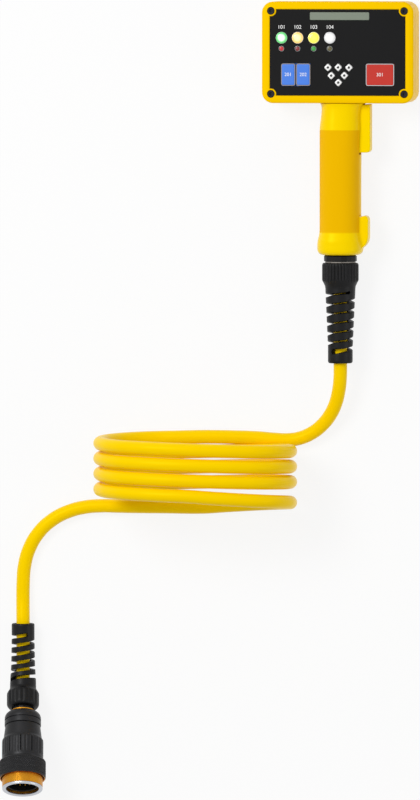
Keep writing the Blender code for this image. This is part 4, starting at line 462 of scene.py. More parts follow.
def spiral_tree(steps=400, sides=44):
    """Cuts a helical slot with round ends through a tube about Z; its edges are rounded, its width varies round."""
    tree, given = new_tree("spiral_slot", Start=0.03, End=0.09, Turns=6.0, Begin=0.0, Bore=0.0073, Top=0.013,
                           Bottom=0.011, Front=0.001, Side=0.003, Mouth=0.0, Spread=0.1, Edge=0.001)
    grid = node(tree, "GeometryNodeMeshGrid", {"Size X": 1.0, "Size Y": 1.0, "Vertices X": steps, "Vertices Y": sides})
    axes = node(tree, "ShaderNodeSeparateXYZ", {0: node(tree, "GeometryNodeInputPosition")}).outputs
    along = node(tree, MATH, {0: axes["X"], 1: 0.5}, operation="ADD")
    whole = node(tree, MATH, {0: given["Turns"], 1: -2 * math.pi}, operation="MULTIPLY")
    turn = node(tree, MATH, {0: along, 1: whole, 2: given["Begin"]}, operation="MULTIPLY_ADD")
    sine = node(tree, MATH, {0: turn}, operation="SINE")
    cosine = node(tree, MATH, {0: turn}, operation="COSINE")
    middle = node(tree, "ShaderNodeMapRange", {0: along, 3: given["Start"], 4: given["End"]})
    outer = node(tree, "ShaderNodeMapRange", {0: along, 3: given["Top"], 4: given["Bottom"]})
    aside = node(tree, MATH, {0: sine}, operation="ABSOLUTE")
    wide = node(tree, "ShaderNodeMapRange", {0: aside, 1: 0.45, 2: 0.9, 3: given["Front"], 4: given["Side"]},
                interpolation_type="SMOOTHSTEP")
    first = node(tree, MATH, {0: 1.0, 1: given["Spread"]}, operation="SUBTRACT")
    mouth = node(tree, "ShaderNodeMapRange", {0: along, 1: first, 2: 1.0, 4: given["Mouth"]},
                 interpolation_type="SMOOTHSTEP")
    wide = node(tree, MATH, {0: wide, 1: mouth}, operation="ADD")
    half = node(tree, MATH, {0: wide, 1: 0.5}, operation="MULTIPLY")
    # Round ends: the width follows a circle over the last half width of the slot
    left = node(tree, MATH, {0: 0.5, 1: node(tree, MATH, {0: axes["X"]}, operation="ABSOLUTE")}, operation="SUBTRACT")
    span = node(tree, MATH, {0: whole, 1: outer}, operation="MULTIPLY")
    span = node(tree, MATH, {0: node(tree, MATH, {0: span}, operation="ABSOLUTE"), 1: left}, operation="MULTIPLY")
    near = node(tree, MATH, {0: span, 1: half}, operation="DIVIDE", use_clamp=True)
    near = node(tree, MATH, {0: 1.0, 1: near}, operation="SUBTRACT")
    near = node(tree, MATH, {0: near, 1: near}, operation="MULTIPLY")
    close = node(tree, MATH, {0: node(tree, MATH, {0: 1.0, 1: near}, operation="SUBTRACT")}, operation="SQRT")
    # The cutter's section: square, and wider where it leaves the tube
    angle = node(tree, MATH, {0: axes["Y"], 1: 2 * math.pi}, operation="MULTIPLY")
    low = node(tree, MATH, {0: given["Bore"], 1: 0.0008}, operation="SUBTRACT")
    high = node(tree, MATH, {0: outer, 1: 0.0008}, operation="ADD")
    radius = node(tree, "ShaderNodeMapRange", {
        0: node(tree, MATH, {0: angle}, operation="COSINE"), 1: -0.65, 2: 0.65, 3: low, 4: high})
    rise = node(tree, "ShaderNodeMapRange", {
        0: node(tree, MATH, {0: angle}, operation="SINE"), 1: -0.65, 2: 0.65, 3: -1.0, 4: 1.0})
    inside = node(tree, MATH, {0: outer, 1: given["Edge"]}, operation="SUBTRACT")
    flare = node(tree, "ShaderNodeMapRange", {0: radius, 1: inside, 2: outer, 3: 0.0, 4: 0.98})
    flare = node(tree, MATH, {0: flare, 1: flare}, operation="MULTIPLY")
    flare = node(tree, MATH, {0: node(tree, MATH, {0: 1.0, 1: flare}, operation="SUBTRACT")}, operation="SQRT")
    flare = node(tree, MATH, {0: node(tree, MATH, {0: 1.0, 1: flare}, operation="SUBTRACT"), 1: given["Edge"]},
                 operation="MULTIPLY")
    shift = node(tree, MATH, {0: node(tree, MATH, {0: half, 1: flare}, operation="ADD"), 1: rise}, operation="MULTIPLY")
    level = node(tree, MATH, {0: shift, 1: close, 2: middle}, operation="MULTIPLY_ADD")
    spot = node(tree, "ShaderNodeCombineXYZ", {
        0: node(tree, MATH, {0: radius, 1: sine}, operation="MULTIPLY"),
        1: node(tree, MATH, {0: radius, 1: cosine}, operation="MULTIPLY"), 2: level})
    cutter = node(tree, "GeometryNodeSetPosition", {"Geometry": grid, "Position": spot})
    cutter = node(tree, "GeometryNodeMergeByDistance", {"Geometry": cutter, "Distance": 0.000002})
    slotted = node(tree, "GeometryNodeMeshBoolean", {0: given["Geometry"], 1: cutter}, operation="DIFFERENCE",
                   solver="MANIFOLD")
    return end_tree(tree, given, slotted)


def copies_tree():
    """Stands a copy of another object on each point of a mesh."""
    tree, given = new_tree("copies_at_places")
    tree.interface.new_socket("Piece", in_out="INPUT", socket_type="NodeSocketObject")
    copy = node(tree, "GeometryNodeObjectInfo", {"Object": given["Piece"]})
    stood = node(tree, "GeometryNodeInstanceOnPoints", {
        "Points": given["Geometry"], "Instance": copy.outputs["Geometry"]})
    return end_tree(tree, given, stood)


def copies(name, mesh, places, material):
    """One object made of a mesh stood at each place."""
    piece = new_object("piece", mesh)
    points = bpy.data.meshes.new(name)
    points.from_pydata([tuple(place) for place in places], [], [])
    thing = settle(add_tree(new_object(name, points), bpy.data.node_groups["copies_at_places"], Piece=piece,
                            Material=material))
    bpy.data.objects.remove(piece)
    return thing


def dense(profile, step):
    """A profile with its long stretches divided."""
    line = []
    for (radius, height), (radius_2, height_2) in zip(profile, profile[1:]):
        count = max(1, round(math.dist((radius, height), (radius_2, height_2)) / step))
        line += [(radius + (radius_2 - radius) * part / count, height + (height_2 - height) * part / count)
                 for part in range(count)]
    return line + [profile[-1]]


def moved(thing, matrix):
    thing.data.transform(matrix)
    return thing


# The lead's route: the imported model's, with its upper stretch a few millimetres lower, as in the photograph

GLAND_MOUTH = Vector((0.0, -0.1620, GRIP_AXIS_Z))
LEAD_START = Vector((0.0, -0.0873, GRIP_AXIS_Z))
UPPER_ROUTE = (
    (-0.0003, -0.1765, 0.0216), (-0.0018, -0.1872, 0.0195), (-0.0050, -0.1985, 0.0163), (-0.0102, -0.2088, 0.0129),
    (-0.0176, -0.2180, 0.0101), (-0.0274, -0.2256, 0.0080), (-0.0390, -0.2306, 0.0066), (-0.0500, -0.2322, 0.0062),
    (-0.0620, -0.2318, 0.0062), (-0.0760, -0.2307, 0.0062), (-0.0900, -0.2302, 0.0062),
)
LOWER_ROUTE = (
    (-0.1600, -0.2932, 0.0062), (-0.1900, -0.2932, 0.0062), (-0.2040, -0.2930, 0.0062), (-0.2190, -0.2929, 0.0062),
    (-0.2345, -0.2943, 0.0062), (-0.2505, -0.2988, 0.0062), (-0.2650, -0.3068, 0.0062), (-0.2768, -0.3183, 0.0062),
    (-0.2850, -0.3325, 0.0062), (-0.2893, -0.3480, 0.0062), (-0.2905, -0.3640, 0.0062), (-0.2906, -0.3790, 0.0068),
)
COIL_X = -0.1265
COIL_TOPS = (-0.2362, -0.2500, -0.2638, -0.2776)
COIL_FIRST_Y = -0.2299
COIL_LAST_Y = -0.2932
COIL_LIFT = 0.0001
COIL_FLAT = 0.0700
COIL_END_ROUND = 0.0504
COIL_CROWN_ROUND = 0.1500
PLUG_BACK = Vector((-0.2890, -0.4620, 0.016858))
PLUG_TILT = math.radians(25.0)
PLUG_TURN = math.radians(3.8)
PLUG_BEND = 0.0650
RELIEF_LENGTH = 0.0635
LEAD_IN_PLUG = 0.0120


def relief_frame(distance):
    """Point and directions on the plug's axis, at a distance back from its nut: bent down, then flat."""
    level = Vector((0.0, -1.0, 0.0))
    flat = math.cos(PLUG_TILT)
    along = Vector((flat * math.sin(PLUG_TURN), -flat * math.cos(PLUG_TURN), math.sin(PLUG_TILT)))
    bend = level.angle(along)
    rise = (along - level * math.cos(bend)).normalized()
    across = level.cross(rise)
    tilt = bend - min(max(distance / PLUG_BEND, 0.0), bend)
    heading = level * math.cos(tilt) + rise * math.sin(tilt)
    point = PLUG_BACK - level * PLUG_BEND * (math.sin(bend) - math.sin(tilt))
    point -= rise * PLUG_BEND * (math.cos(tilt) - math.cos(bend))
    point -= along * min(distance, 0.0) + level * max(distance - PLUG_BEND * bend, 0.0)
    return point, across, heading.cross(across), -heading


def plug_matrix():
    """Turns a piece made about Z into one on the plug's axis: X right, Y to the front, Z towards the nose."""
    point, across, up, back = relief_frame(0.0)
    return Matrix.Translation(point) @ Matrix((-across, -up, -back)).transposed().to_4x4()


def coil_turn(count):
    """Even points round one turn seen along Y, from the middle of the floor towards -X, up and over."""
    half = COIL_FLAT / 2
    middle = CORD_RADIUS + COIL_END_ROUND
    turn = math.asin(half / (COIL_CROWN_ROUND - COIL_END_ROUND))
    crown = middle - (COIL_CROWN_ROUND - COIL_END_ROUND) * math.cos(turn)
    end, top = COIL_END_ROUND * (math.pi - turn), COIL_CROWN_ROUND * 2 * turn
    stretches = (half, end, top, end, half)
    points = []
    for step in range(count):
        goal = sum(stretches) * step / count
        for number, length in enumerate(stretches):
            if goal <= length or number == 4:
                break
            goal -= length
        if number == 0:
            points.append((-goal, CORD_RADIUS))
        elif number == 1:
            angle = goal / COIL_END_ROUND
            points.append((-half - COIL_END_ROUND * math.sin(angle), middle - COIL_END_ROUND * math.cos(angle)))
        elif number == 2:
            angle = goal / COIL_CROWN_ROUND - turn
            points.append((COIL_CROWN_ROUND * math.sin(angle), crown + COIL_CROWN_ROUND * math.cos(angle)))
        elif number == 3:
            angle = goal / COIL_END_ROUND + turn
            points.append((half + COIL_END_ROUND * math.sin(angle), middle + COIL_END_ROUND * math.cos(angle)))
        else:
            points.append((half - goal, CORD_RADIUS))
    return points


def lead_points(per_turn):
    """The whole lead's centre line: gland, floor, four standing turns, floor and plug."""
    points = [LEAD_START, LEAD_START.lerp(GLAND_MOUTH, 0.5), GLAND_MOUTH]
    points += [Vector(point) for point in UPPER_ROUTE]
    heights = [COIL_FIRST_Y]
    for number, top in enumerate(COIL_TOPS):
        after = COIL_TOPS[number + 1] if number + 1 < len(COIL_TOPS) else 2 * COIL_LAST_Y - top
        heights += [top, (top + after) / 2]
    turn = coil_turn(per_turn)
    for number in range(len(COIL_TOPS)):
        for step, (x, z) in enumerate(turn):
            share = 2 * (number + step / per_turn)
            low = int(share)
            y = heights[low] + (heights[low + 1] - heights[low]) * (share - low)
            points.append(Vector((COIL_X + x, y, z + COIL_LIFT)))
    points.append(Vector((COIL_X, COIL_LAST_Y, CORD_RADIUS)))
    points += [Vector(point) for point in LOWER_ROUTE]
    points += [relief_frame(RELIEF_LENGTH * step / 6)[0] for step in range(6, -1, -1)]
    points.append(relief_frame(-LEAD_IN_PLUG)[0])
    return points


# Head and keypad

BOX_WIDTH = FRAME_HIGH.x - FRAME_LOW.x
BOX_HEIGHT = FRAME_HIGH.y - FRAME_LOW.y
BOX_TOP_Z = FRAME_HIGH.z
SCREW_PLACES = [(x, HEAD_MIDDLE + y) for x in (-0.0600, 0.0600) for y in (-0.0371, 0.0371)]
LAMP_NAMES = ("green", "amber", "yellow", "white")
LAMP_PLACES = [(-0.0505 + 0.0145 * index, HEAD_MIDDLE + 0.0131) for index in range(4)]
LED_PLACES = [(x, y - 0.0097) for x, y in LAMP_PLACES]
SCREW_RADIUS = 0.0033
WELL_RADIUS = SCREW_RADIUS + 0.0002
SCREW_SEAT = 0.0390
FIGURE_ROW = HEAD_MIDDLE + 0.0226
KEY_ROW = HEAD_MIDDLE - 0.0198
KEY_TALL = 0.0197
KEY_RIM = 0.0010
SEAT_LOW, SEAT_HIGH = 0.0396, 0.0410
BOARD_TOP = 0.0283


def head_outline(inset):
    """The head's outline drawn in by an inset, about the head's middle."""
    outline = rounded(BOX_WIDTH - 2 * inset, BOX_HEIGHT - 2 * inset, 0.0100 - min(inset, 0.0090), 16)
    return [(x, HEAD_MIDDLE + y) for x, y in outline]


def panel_outline(grow, steps=12):
    """The panel's outline with its four bites round the screws, moved out by an amount."""
    width, height = 0.1222 + 2 * grow, 0.0772 + 2 * grow
    notch = 0.0048 - grow
    spot_x, spot_y = 0.0600, 0.0371
    low = math.atan2(-math.sqrt(notch ** 2 - (width / 2 - spot_x) ** 2), width / 2 - spot_x)
    high = math.atan2(height / 2 - spot_y, -math.sqrt(notch ** 2 - (height / 2 - spot_y) ** 2))
    high = high % math.tau - math.tau
    bite = []
    for step in range(steps + 1):
        angle = low + (high - low) * step / steps
        bite.append((spot_x + notch * math.cos(angle), spot_y + notch * math.sin(angle)))
    outline = bite + [(-x, y) for x, y in reversed(bite)]
    outline += [(-x, -y) for x, y in bite] + [(x, -y) for x, y in reversed(bite)]
    return [(x, HEAD_MIDDLE + y) for x, y in outline]


def head_frame():
    """The front frame: crowned rim, round edges, pocket for the panel and wells for the screws."""
    low, top = FRAME_LOW.z, BOX_TOP_Z
    edge, lip = 0.0020, 0.0010
    rings = [raised(head_outline(0.0), low)] + round_edge(head_outline, edge, top - 0.0004 - edge, 6)
    rings.append(raised(head_outline(0.0032), top - 0.0001))
    rings.append(raised(head_outline(0.0044), top))
    frame_piece = new_object("head_frame", lofted("head_frame", rings))
    inner = rounded(BOX_WIDTH - 0.0060, BOX_HEIGHT - 0.0060, 0.0070, 12)
    hollow = prism("hollow", [(x, HEAD_MIDDLE + y) for x, y in inner], low - 0.0010, 0.0375)
    keep = new_object("bosses", hollow)
    boolean(keep, "DIFFERENCE", *[
        prism("boss", [(x + u, y + v) for u, v in circle(0.0048, 32)], 0.0, 0.0600) for x, y in SCREW_PLACES])
    pocket = [raised(panel_outline(0.0), 0.0410)] + round_edge(panel_outline, lip, top - lip, 4)
    pocket.append(raised(panel_outline(lip), top + 0.0010))
    window = raised(panel_outline(-0.0022), 0.0300), raised(panel_outline(-0.0022), 0.0450)
    well = [(0.0, 0.0500), (WELL_RADIUS + 0.0007, 0.0500), (WELL_RADIUS + 0.0002, top), (WELL_RADIUS, top - 0.0002),
            (WELL_RADIUS, SCREW_SEAT), (0.0023, SCREW_SEAT), (0.0023, 0.0200), (0.0, 0.0200)]
    wells = [lathe("well", well, 40, Matrix.Translation((x, y, 0.0))) for x, y in SCREW_PLACES]
    boolean(frame_piece, "DIFFERENCE", keep.data, lofted("pocket", pocket), lofted("window", window), *wells)
    bpy.data.objects.remove(keep)
    return polish(frame_piece)


def key_rings(outline, flange, face):
    """Rings of a key: stem, flange, cap and its rounded edge; outline and flange are functions of an inset."""
    stem_low = 0.0328
    half = 0.0020
    stem = outline(0.0)
    reach = max(max(abs(x), abs(y)) for x, y in stem)
    stem = [(x * half / reach, y * half / reach) for x, y in stem]
    rings = [raised(stem, stem_low), raised(stem, SEAT_LOW), raised(flange, SEAT_LOW), raised(flange, SEAT_HIGH),
             raised(outline(0.0), SEAT_HIGH)]
    edge = 0.0006
    return rings + round_edge(outline, edge, face - 0.0002 - edge, 4) + [raised(outline(0.0014), face)]


def lens(name, place, stops, rough, glow):
    """A clear coloured lens, its colour given by distance from its middle in millimetres."""
    material = bpy.data.materials.new(name)
    material.use_nodes = True
    tree = material.node_tree
    shader = tree.nodes["Principled BSDF"]
    where = node(tree, "ShaderNodeTexCoord").outputs["Object"]
    where = node(tree, "ShaderNodeVectorMath", {0: where, 1: (*place, 0.0)}, operation="SUBTRACT")
    flat = node(tree, "ShaderNodeVectorMath", {0: where, 1: (1.0, 1.0, 0.0)}, operation="MULTIPLY")
    far = node(tree, "ShaderNodeVectorMath", {0: flat}, operation="LENGTH").outputs["Value"]
    far = node(tree, "ShaderNodeMapRange", {0: far, 1: 0.0, 2: stops[-1][0] * MM})
    ramp = node(tree, "ShaderNodeValToRGB", {0: far})
    for number, (reach, code) in enumerate(stops):
        element = ramp.color_ramp.elements[number] if number < 2 else ramp.color_ramp.elements.new(1.0)
        element.position = reach / stops[-1][0]
        element.color = linear(code)
    cloud = node(tree, "ShaderNodeTexNoise", {"Vector": where, "Scale": 900.0, "Detail": 2.0})
    gloss = node(tree, "ShaderNodeMapRange", {0: cloud, 3: rough, 4: rough + 0.12})
    tree.links.new(ramp.outputs[0], shader.inputs["Base Color"])
    tree.links.new(ramp.outputs[0], shader.inputs["Emission Color"])
    shader.inputs["Emission Strength"].default_value = glow
    tree.links.new(gloss.outputs[0], shader.inputs["Roughness"])
    shader.inputs["Coat Weight"].default_value = 0.3
    return material


LAMP_STOPS = {
    "green": ((0.0, "#FBFFFA"), (2.6, "#F2FFF2"), (3.6, "#8CEB9B"), (4.6, "#4FD06B"), (5.2, "#BFEFC6")),
    "amber": ((0.0, "#FFF4C8"), (2.4, "#FFEFB4"), (3.6, "#FFDF86"), (4.7, "#FFD470"), (5.2, "#E9ECF2")),
    "yellow": ((0.0, "#FFFA72"), (2.6, "#FFF65C"), (3.8, "#FFF04E"), (4.7, "#F6EE78"), (5.2, "#EDEFD0")),
    "white": ((0.0, "#F4F4F4"), (2.6, "#EFEFEF"), (3.8, "#E6E6E6"), (4.7, "#D2D2D4"), (5.2, "#DADADC")),
}
LED_CORES = ("#CC0E22", "#860A14", "#22A532", "#5A5222")


# Grip and trigger

PIVOT = Vector((0.0120, HEAD_BOTTOM - 0.0066, GRIP_AXIS_Z))
SLOT_X = 0.0064
GRIP_SCREWS = [(0.0030, HEAD_BOTTOM - drop) for drop in (0.0600, 0.0980)]
MOUNT_SCREWS = ((-0.0100, 0.0256), (-0.0090, 0.0090), (0.0090, 0.0090))
# Distance below the head, half width and half depth, in millimetres
GRIP_KNOTS = (
    (0.3, 18.0, 20.4), (1.3, 17.2, 19.7), (3.2, 16.75, 19.3), (6.0, 16.6, 19.2), (12.0, 17.1, 19.4),
    (18.0, 17.9, 19.7), (23.0, 18.35, 19.9), (26.0, 18.4, 20.0), (50.0, 18.4, 20.0), (80.0, 18.4, 20.0),
    (110.0, 18.4, 20.0), (115.0, 18.45, 20.05), (118.0, 18.9, 20.5), (121.0, 19.6, 21.2), (124.0, 20.25, 21.8),
    (127.0, 20.5, 21.7), (130.8, 20.5, 21.7), (132.9, 20.05, 21.4), (134.6, 19.0, 20.5), (135.7, 17.4, 18.9),
    (136.2, 15.1, 16.6),
)


def grip_ring(half_width, half_depth, drop, web=0.0, steps=96):
    """One section of the grip, a rounded oval, with a web that runs out over the trigger's top."""
    ring = []
    for step in range(steps):
        angle = 2 * math.pi * (step + 0.5) / steps
        side, up = math.cos(angle), math.sin(angle)
        x = half_width * math.copysign(abs(side) ** 0.8, side)
        if side > 0.0:
            x *= 1.0 + web * math.exp(-drop / 0.0150)
        ring.append((x, HEAD_BOTTOM - drop, GRIP_AXIS_Z + half_depth * math.copysign(abs(up) ** 0.8, up)))
    return ring


def lug_outline():
    """Side view of the finger stop: a saddle, a round tip and a heel that runs into the bulb."""
    outline = []
    for x, drop, radius, first, last, count in ((18.6, 99.3, 2.8, 210, 320, 8), (22.4, 104.4, 3.6, 118, 0, 10)):
        for step in range(count + 1):
            angle = math.radians(first + (last - first) * step / count)
            outline.append((x + radius * math.cos(angle), -drop + radius * math.sin(angle)))
    for step in range(11):
        angle = math.radians(-80.0 * step / 10)
        outline.append((16.5 + 9.5 * math.cos(angle), -119.5 + 11.1 * math.sin(angle)))
    outline += [(9.2, -130.6), (9.2, -100.8)]
    return [(x * MM, HEAD_BOTTOM + y * MM) for x, y in outline]


def grip_halves(web, voxel):
    """Front and rear half shells, hollow, with the finger stop blended in."""
    knots = smooth_points([Vector((wide, deep, drop)) * MM for drop, wide, deep in GRIP_KNOTS], 0.0016)
    skin = new_object("grip", lofted("grip", [grip_ring(x, y, drop, web) for x, y, drop in knots]))
    lug = new_object("lug", prism("lug", lug_outline(), GRIP_AXIS_Z - 0.0080, GRIP_AXIS_Z + 0.0080))
    edge = lug.modifiers.new("edge", "BEVEL")
    edge.width = 0.0022
    edge.segments = 4
    edge.limit_method = "ANGLE"
    edge.angle_limit = math.radians(60.0)
    boolean(skin, "UNION", settle(lug).data)
    bpy.data.objects.remove(lug)
    blend = skin.modifiers.new("blend", "REMESH")
    blend.mode = "VOXEL"
    blend.voxel_size = voxel
    soft = skin.modifiers.new("soft", "SMOOTH")
    soft.factor = 0.5
    soft.iterations = 10
    settle(skin)

    wall = 0.0030
    hollow = new_object("hollow", lofted("hollow", [grip_ring(x - wall, y - wall, drop, steps=48) for x, y, drop in (
        (0.0166, 0.0192, 0.0080), (0.0184, 0.0200, 0.0240), (0.0184, 0.0200, 0.1150), (0.0205, 0.0220, 0.1265),
        (0.0187, 0.0202, 0.1322))]))
    kept = [bar(0.0045, (PIVOT.x, PIVOT.y, -0.05), (PIVOT.x, PIVOT.y, 0.09)),
            block((-0.0045, HEAD_BOTTOM - 0.0415, -0.05), (-0.0015, HEAD_BOTTOM - 0.0315, 0.09))]
    kept += [bar(0.0040, (x, y, -0.05), (x, y, 0.09)) for x, y in GRIP_SCREWS]
    boolean(hollow, "DIFFERENCE", *kept)
    openings = [
        block((SLOT_X, HEAD_BOTTOM - 0.0463, GRIP_AXIS_Z - 0.0081),
              (0.0554, HEAD_BOTTOM + 0.0080, GRIP_AXIS_Z + 0.0081)),
        bar(0.0021, PIVOT - Vector((0.0, 0.0, 0.0115)), PIVOT + Vector((0.0, 0.0, 0.0115))),
        bar(0.0103, (0.0, GRIP_BOTTOM - 0.0040, GRIP_AXIS_Z), (0.0, GRIP_BOTTOM + 0.0120, GRIP_AXIS_Z), 64),
        bar(0.0060, (-0.0030, HEAD_BOTTOM - 0.0160, 0.0160), (-0.0030, HEAD_BOTTOM + 0.0080, 0.0160)),
    ]
    openings += [bar(0.0020, (x, HEAD_BOTTOM - 0.0105, z), (x, HEAD_BOTTOM + 0.0080, z)) for x, z in MOUNT_SCREWS]
    openings += [bar(0.0018, (x, y, -0.01), (x, y, 0.0333)) for x, y in GRIP_SCREWS]
    openings += [bar(0.0034, (x, y, -0.01), (x, y, 0.0084)) for x, y in GRIP_SCREWS]
    boolean(skin, "DIFFERENCE", settle(hollow).data, *openings)
    bpy.data.objects.remove(hollow)
    rear = new_object("grip_rear_shell", skin.data.copy())
    pad = block((-0.0012, HEAD_BOTTOM - 0.0305, 0.0022), (SLOT_X - 0.0001, HEAD_BOTTOM - 0.0135, GRIP_AXIS_Z - 0.0035))
    boolean(rear, "UNION", pad)
    skin.name = "grip_front_shell"
    boolean(skin, "DIFFERENCE", block((-1.0, -1.0, -1.0), (1.0, 1.0, GRIP_AXIS_Z + GAP / 2)))
    boolean(rear, "DIFFERENCE", block((-1.0, -1.0, GRIP_AXIS_Z - GAP / 2), (1.0, 1.0, 1.0)))
    return skin, rear


def grip_finish():
    """Glossy moulded ABS, painted a brighter yellow than the head as a painted highlight, whose hand area is textured,
    dull and a deeper yellow between two heights.
    """
    # Brighter yellow on the glossy neck and bulb: painted highlight
    material = surface("yellow_abs_grip", "#FFDC00", "#FFD600", (0.24, 0.34), 40, 0.5, 0.01, Specular_Tint=GOLDEN,
                       Specular_IOR_Level=0.3)
    tree = material.node_tree
    shader = tree.nodes["Principled BSDF"]
    where = node(tree, "ShaderNodeTexCoord").outputs["Object"]
    axes = node(tree, "ShaderNodeSeparateXYZ", {0: where})
    height = axes.outputs["Y"]
    side = node(tree, "ShaderNodeMapRange", {0: axes.outputs["X"], 1: 0.0190, 2: 0.0175})
    top = node(tree, "ShaderNodeMapRange", {0: height, 1: HEAD_BOTTOM - 0.0236, 2: HEAD_BOTTOM - 0.0246},
               interpolation_type="SMOOTHSTEP")
    foot = node(tree, "ShaderNodeMapRange", {0: height, 1: HEAD_BOTTOM - 0.1170, 2: HEAD_BOTTOM - 0.1150},
                interpolation_type="SMOOTHSTEP")
    mask = node(tree, MATH, {0: top, 1: foot}, operation="MULTIPLY")
    mask = node(tree, MATH, {0: mask, 1: side}, operation="MULTIPLY")
    tint = shader.inputs["Base Color"].links[0].from_socket
    gloss = shader.inputs["Roughness"].links[0].from_socket
    tint = node(tree, "ShaderNodeMix", {0: mask, 6: tint, 7: linear("#F3BA00")}, data_type="RGBA")
    gloss = node(tree, "ShaderNodeMix", {0: mask, 2: gloss, 3: 0.72})
    tree.links.new(tint.outputs[2], shader.inputs["Base Color"])
    tree.links.new(gloss.outputs[0], shader.inputs["Roughness"])
    return material


def trigger_shape(edge):
    """The trigger: a round hub on its pin, a flat pad and a rounded lower corner."""
    outline = [(0.0010, -0.0377)]
    for x, y, radius, first, last, count in (
            (0.0124, -0.0344, 0.0033, -90, 0, 6), (0.0147, 0.0046, 0.0010, 0, 90, 3), (0.0, 0.0, 0.0048, 75, 270, 20)):
        for step in range(count + 1):
            angle = math.radians(first + (last - first) * step / count)
            outline.append((x + radius * math.cos(angle), y + radius * math.sin(angle)))
    outline.append((0.0010, -0.0077))
    mesh = prism("trigger", outline, -0.0077, 0.0077, Matrix.Translation(PIVOT))
    piece = new_object("trigger_lever", mesh)
    bevel = piece.modifiers.new("edge", "BEVEL")
    bevel.width = edge
    bevel.segments = 4
    bevel.limit_method = "ANGLE"
    bevel.angle_limit = math.radians(60.0)
    settle(piece)
    boolean(piece, "DIFFERENCE", bar(0.0021, PIVOT - Vector((0.0, 0.0, 0.02)), PIVOT + Vector((0.0, 0.0, 0.02))))
    return polish(piece)


# Glands and plug, as turned profiles of (radius, distance along the axis)

GLAND_PLACE = Matrix.Translation((GLAND_MOUTH.x, GRIP_BOTTOM, GRIP_AXIS_Z)) @ Matrix.Rotation(math.pi / 2, 4, "X")
GLAND_OUTSIDE = (
    (0.0123, 0.0072), (0.0152, 0.0072), (0.0158, 0.0075), (0.0164, 0.0090), (0.0164, 0.0222), (0.0161, 0.0233),
    (0.0155, 0.0243), (0.0146, 0.0262), (0.0138, 0.0280), (0.0135, 0.0300), (0.0134, 0.0330), (0.0111, 0.0835),
    (0.0111, 0.0952), (0.0108, 0.0963), (0.0101, 0.0970), (0.0077, 0.0970), (0.0073, 0.0966),
)
GLAND_INSIDE = ((0.0073, 0.0223), (0.0123, 0.0223))
RELIEF_OUTSIDE = (
    (0.0077, -0.0635), (0.0093, -0.0635), (0.0100, -0.0631), (0.0103, -0.0624), (0.0103, -0.0515), (0.01075, -0.0263),
    (0.0117, -0.0110),
    (0.0118, -0.0046), (0.0122, -0.0030), (0.0134, -0.0010), (0.0143, 0.0006), (0.0145, 0.0020), (0.0145, 0.0112),
    (0.0141, 0.0127), (0.0130, 0.0141), (0.0117, 0.0148), (0.0101, 0.0148),
)
RELIEF_INSIDE = ((0.0101, 0.0045), (0.0073, 0.0045), (0.0073, -0.0631))


def gland_nut(settings, finish):
    """Dome nut with grip ribs, and its spiral relief in one piece."""
    thing = new_object("gland_nut_body", lathe("gland_nut", dense(GLAND_OUTSIDE, 0.0010) + dense(GLAND_INSIDE, 0.0030),
                                               settings.ribs * 9))
    add_tree(thing, bpy.data.node_groups["knurl"], Radius=0.0164, Count=float(settings.ribs), Depth=0.0008,
             Middle=0.0157, Half=0.0090, Material=finish)
    add_tree(thing, bpy.data.node_groups["spiral_slot"], Start=0.0334, End=0.0868, Turns=settings.upper_turns,
             Begin=math.radians(50.0), Top=0.0134, Bottom=0.0111, Front=0.0010, Side=0.0027, Mouth=0.0030,
             Spread=0.07, Edge=0.0011, Material=finish)
    return polish(moved(settle(thing), GLAND_PLACE), 40.0)


def plug_relief(settings, finish):
    """Plug nut with broad grip lobes and its spiral relief, bent down to the floor."""
    thing = new_object("plug_relief", lathe("plug_relief", dense(RELIEF_OUTSIDE, 0.0011) + dense(RELIEF_INSIDE, 0.0030),
                                            settings.lobes * 16))
    add_tree(thing, bpy.data.node_groups["knurl"], Radius=0.0145, Count=float(settings.lobes), Depth=0.0007,
             Middle=0.0075, Half=0.0090, Material=finish)
    add_tree(thing, bpy.data.node_groups["spiral_slot"], Start=-0.0536, End=-0.0115, Turns=settings.lower_turns,
             Begin=math.radians(28.0), Top=0.0103, Bottom=0.0117, Front=0.0030, Side=0.0030, Edge=0.0010,
             Material=finish)
    settle(thing)
    for vertex in thing.data.vertices:
        if vertex.co.z < 0.0:
            point, across, up, _ = relief_frame(-vertex.co.z)
            vertex.co = point - across * vertex.co.x - up * vertex.co.y
        else:
            vertex.co = plug_matrix() @ vertex.co
    return polish(thing, 40.0)


SHELL_WIDE = 0.0186
RING_WIDE = 0.0210
BARREL_WIDE, BARREL_BORE = 0.0182, 0.0148


def turned(name, profile, steps, crease=35.0):
    """A plain turned piece of the plug."""
    return polish(new_object(name, lathe(name, profile, steps, plug_matrix())), crease)


def dome(radius, reach, low, high, steps=8):
    """Quarter of an ellipse from one radius to a larger one."""
    return [(radius + (reach - radius) * math.sin(math.pi / 2 * step / steps),
             high - (high - low) * math.cos(math.pi / 2 * step / steps)) for step in range(steps + 1)]


def backshell():
    """Domed rear shell with one dark groove."""
    profile = [(0.0083, 0.0188)] + dome(0.0105, 0.0164, 0.0188, 0.0252)
    profile += [(0.0164, 0.0266), (0.0162, 0.0268), (0.0155, 0.0269), (0.0155, 0.0276), (0.0162, 0.0277),
                (0.0164, 0.0280), (0.0164, 0.0318), (0.0161, 0.0322), (0.0138, 0.0322), (0.0138, 0.0273),
                (0.0083, 0.0227)]
    return turned("backshell_cap", profile, 128)


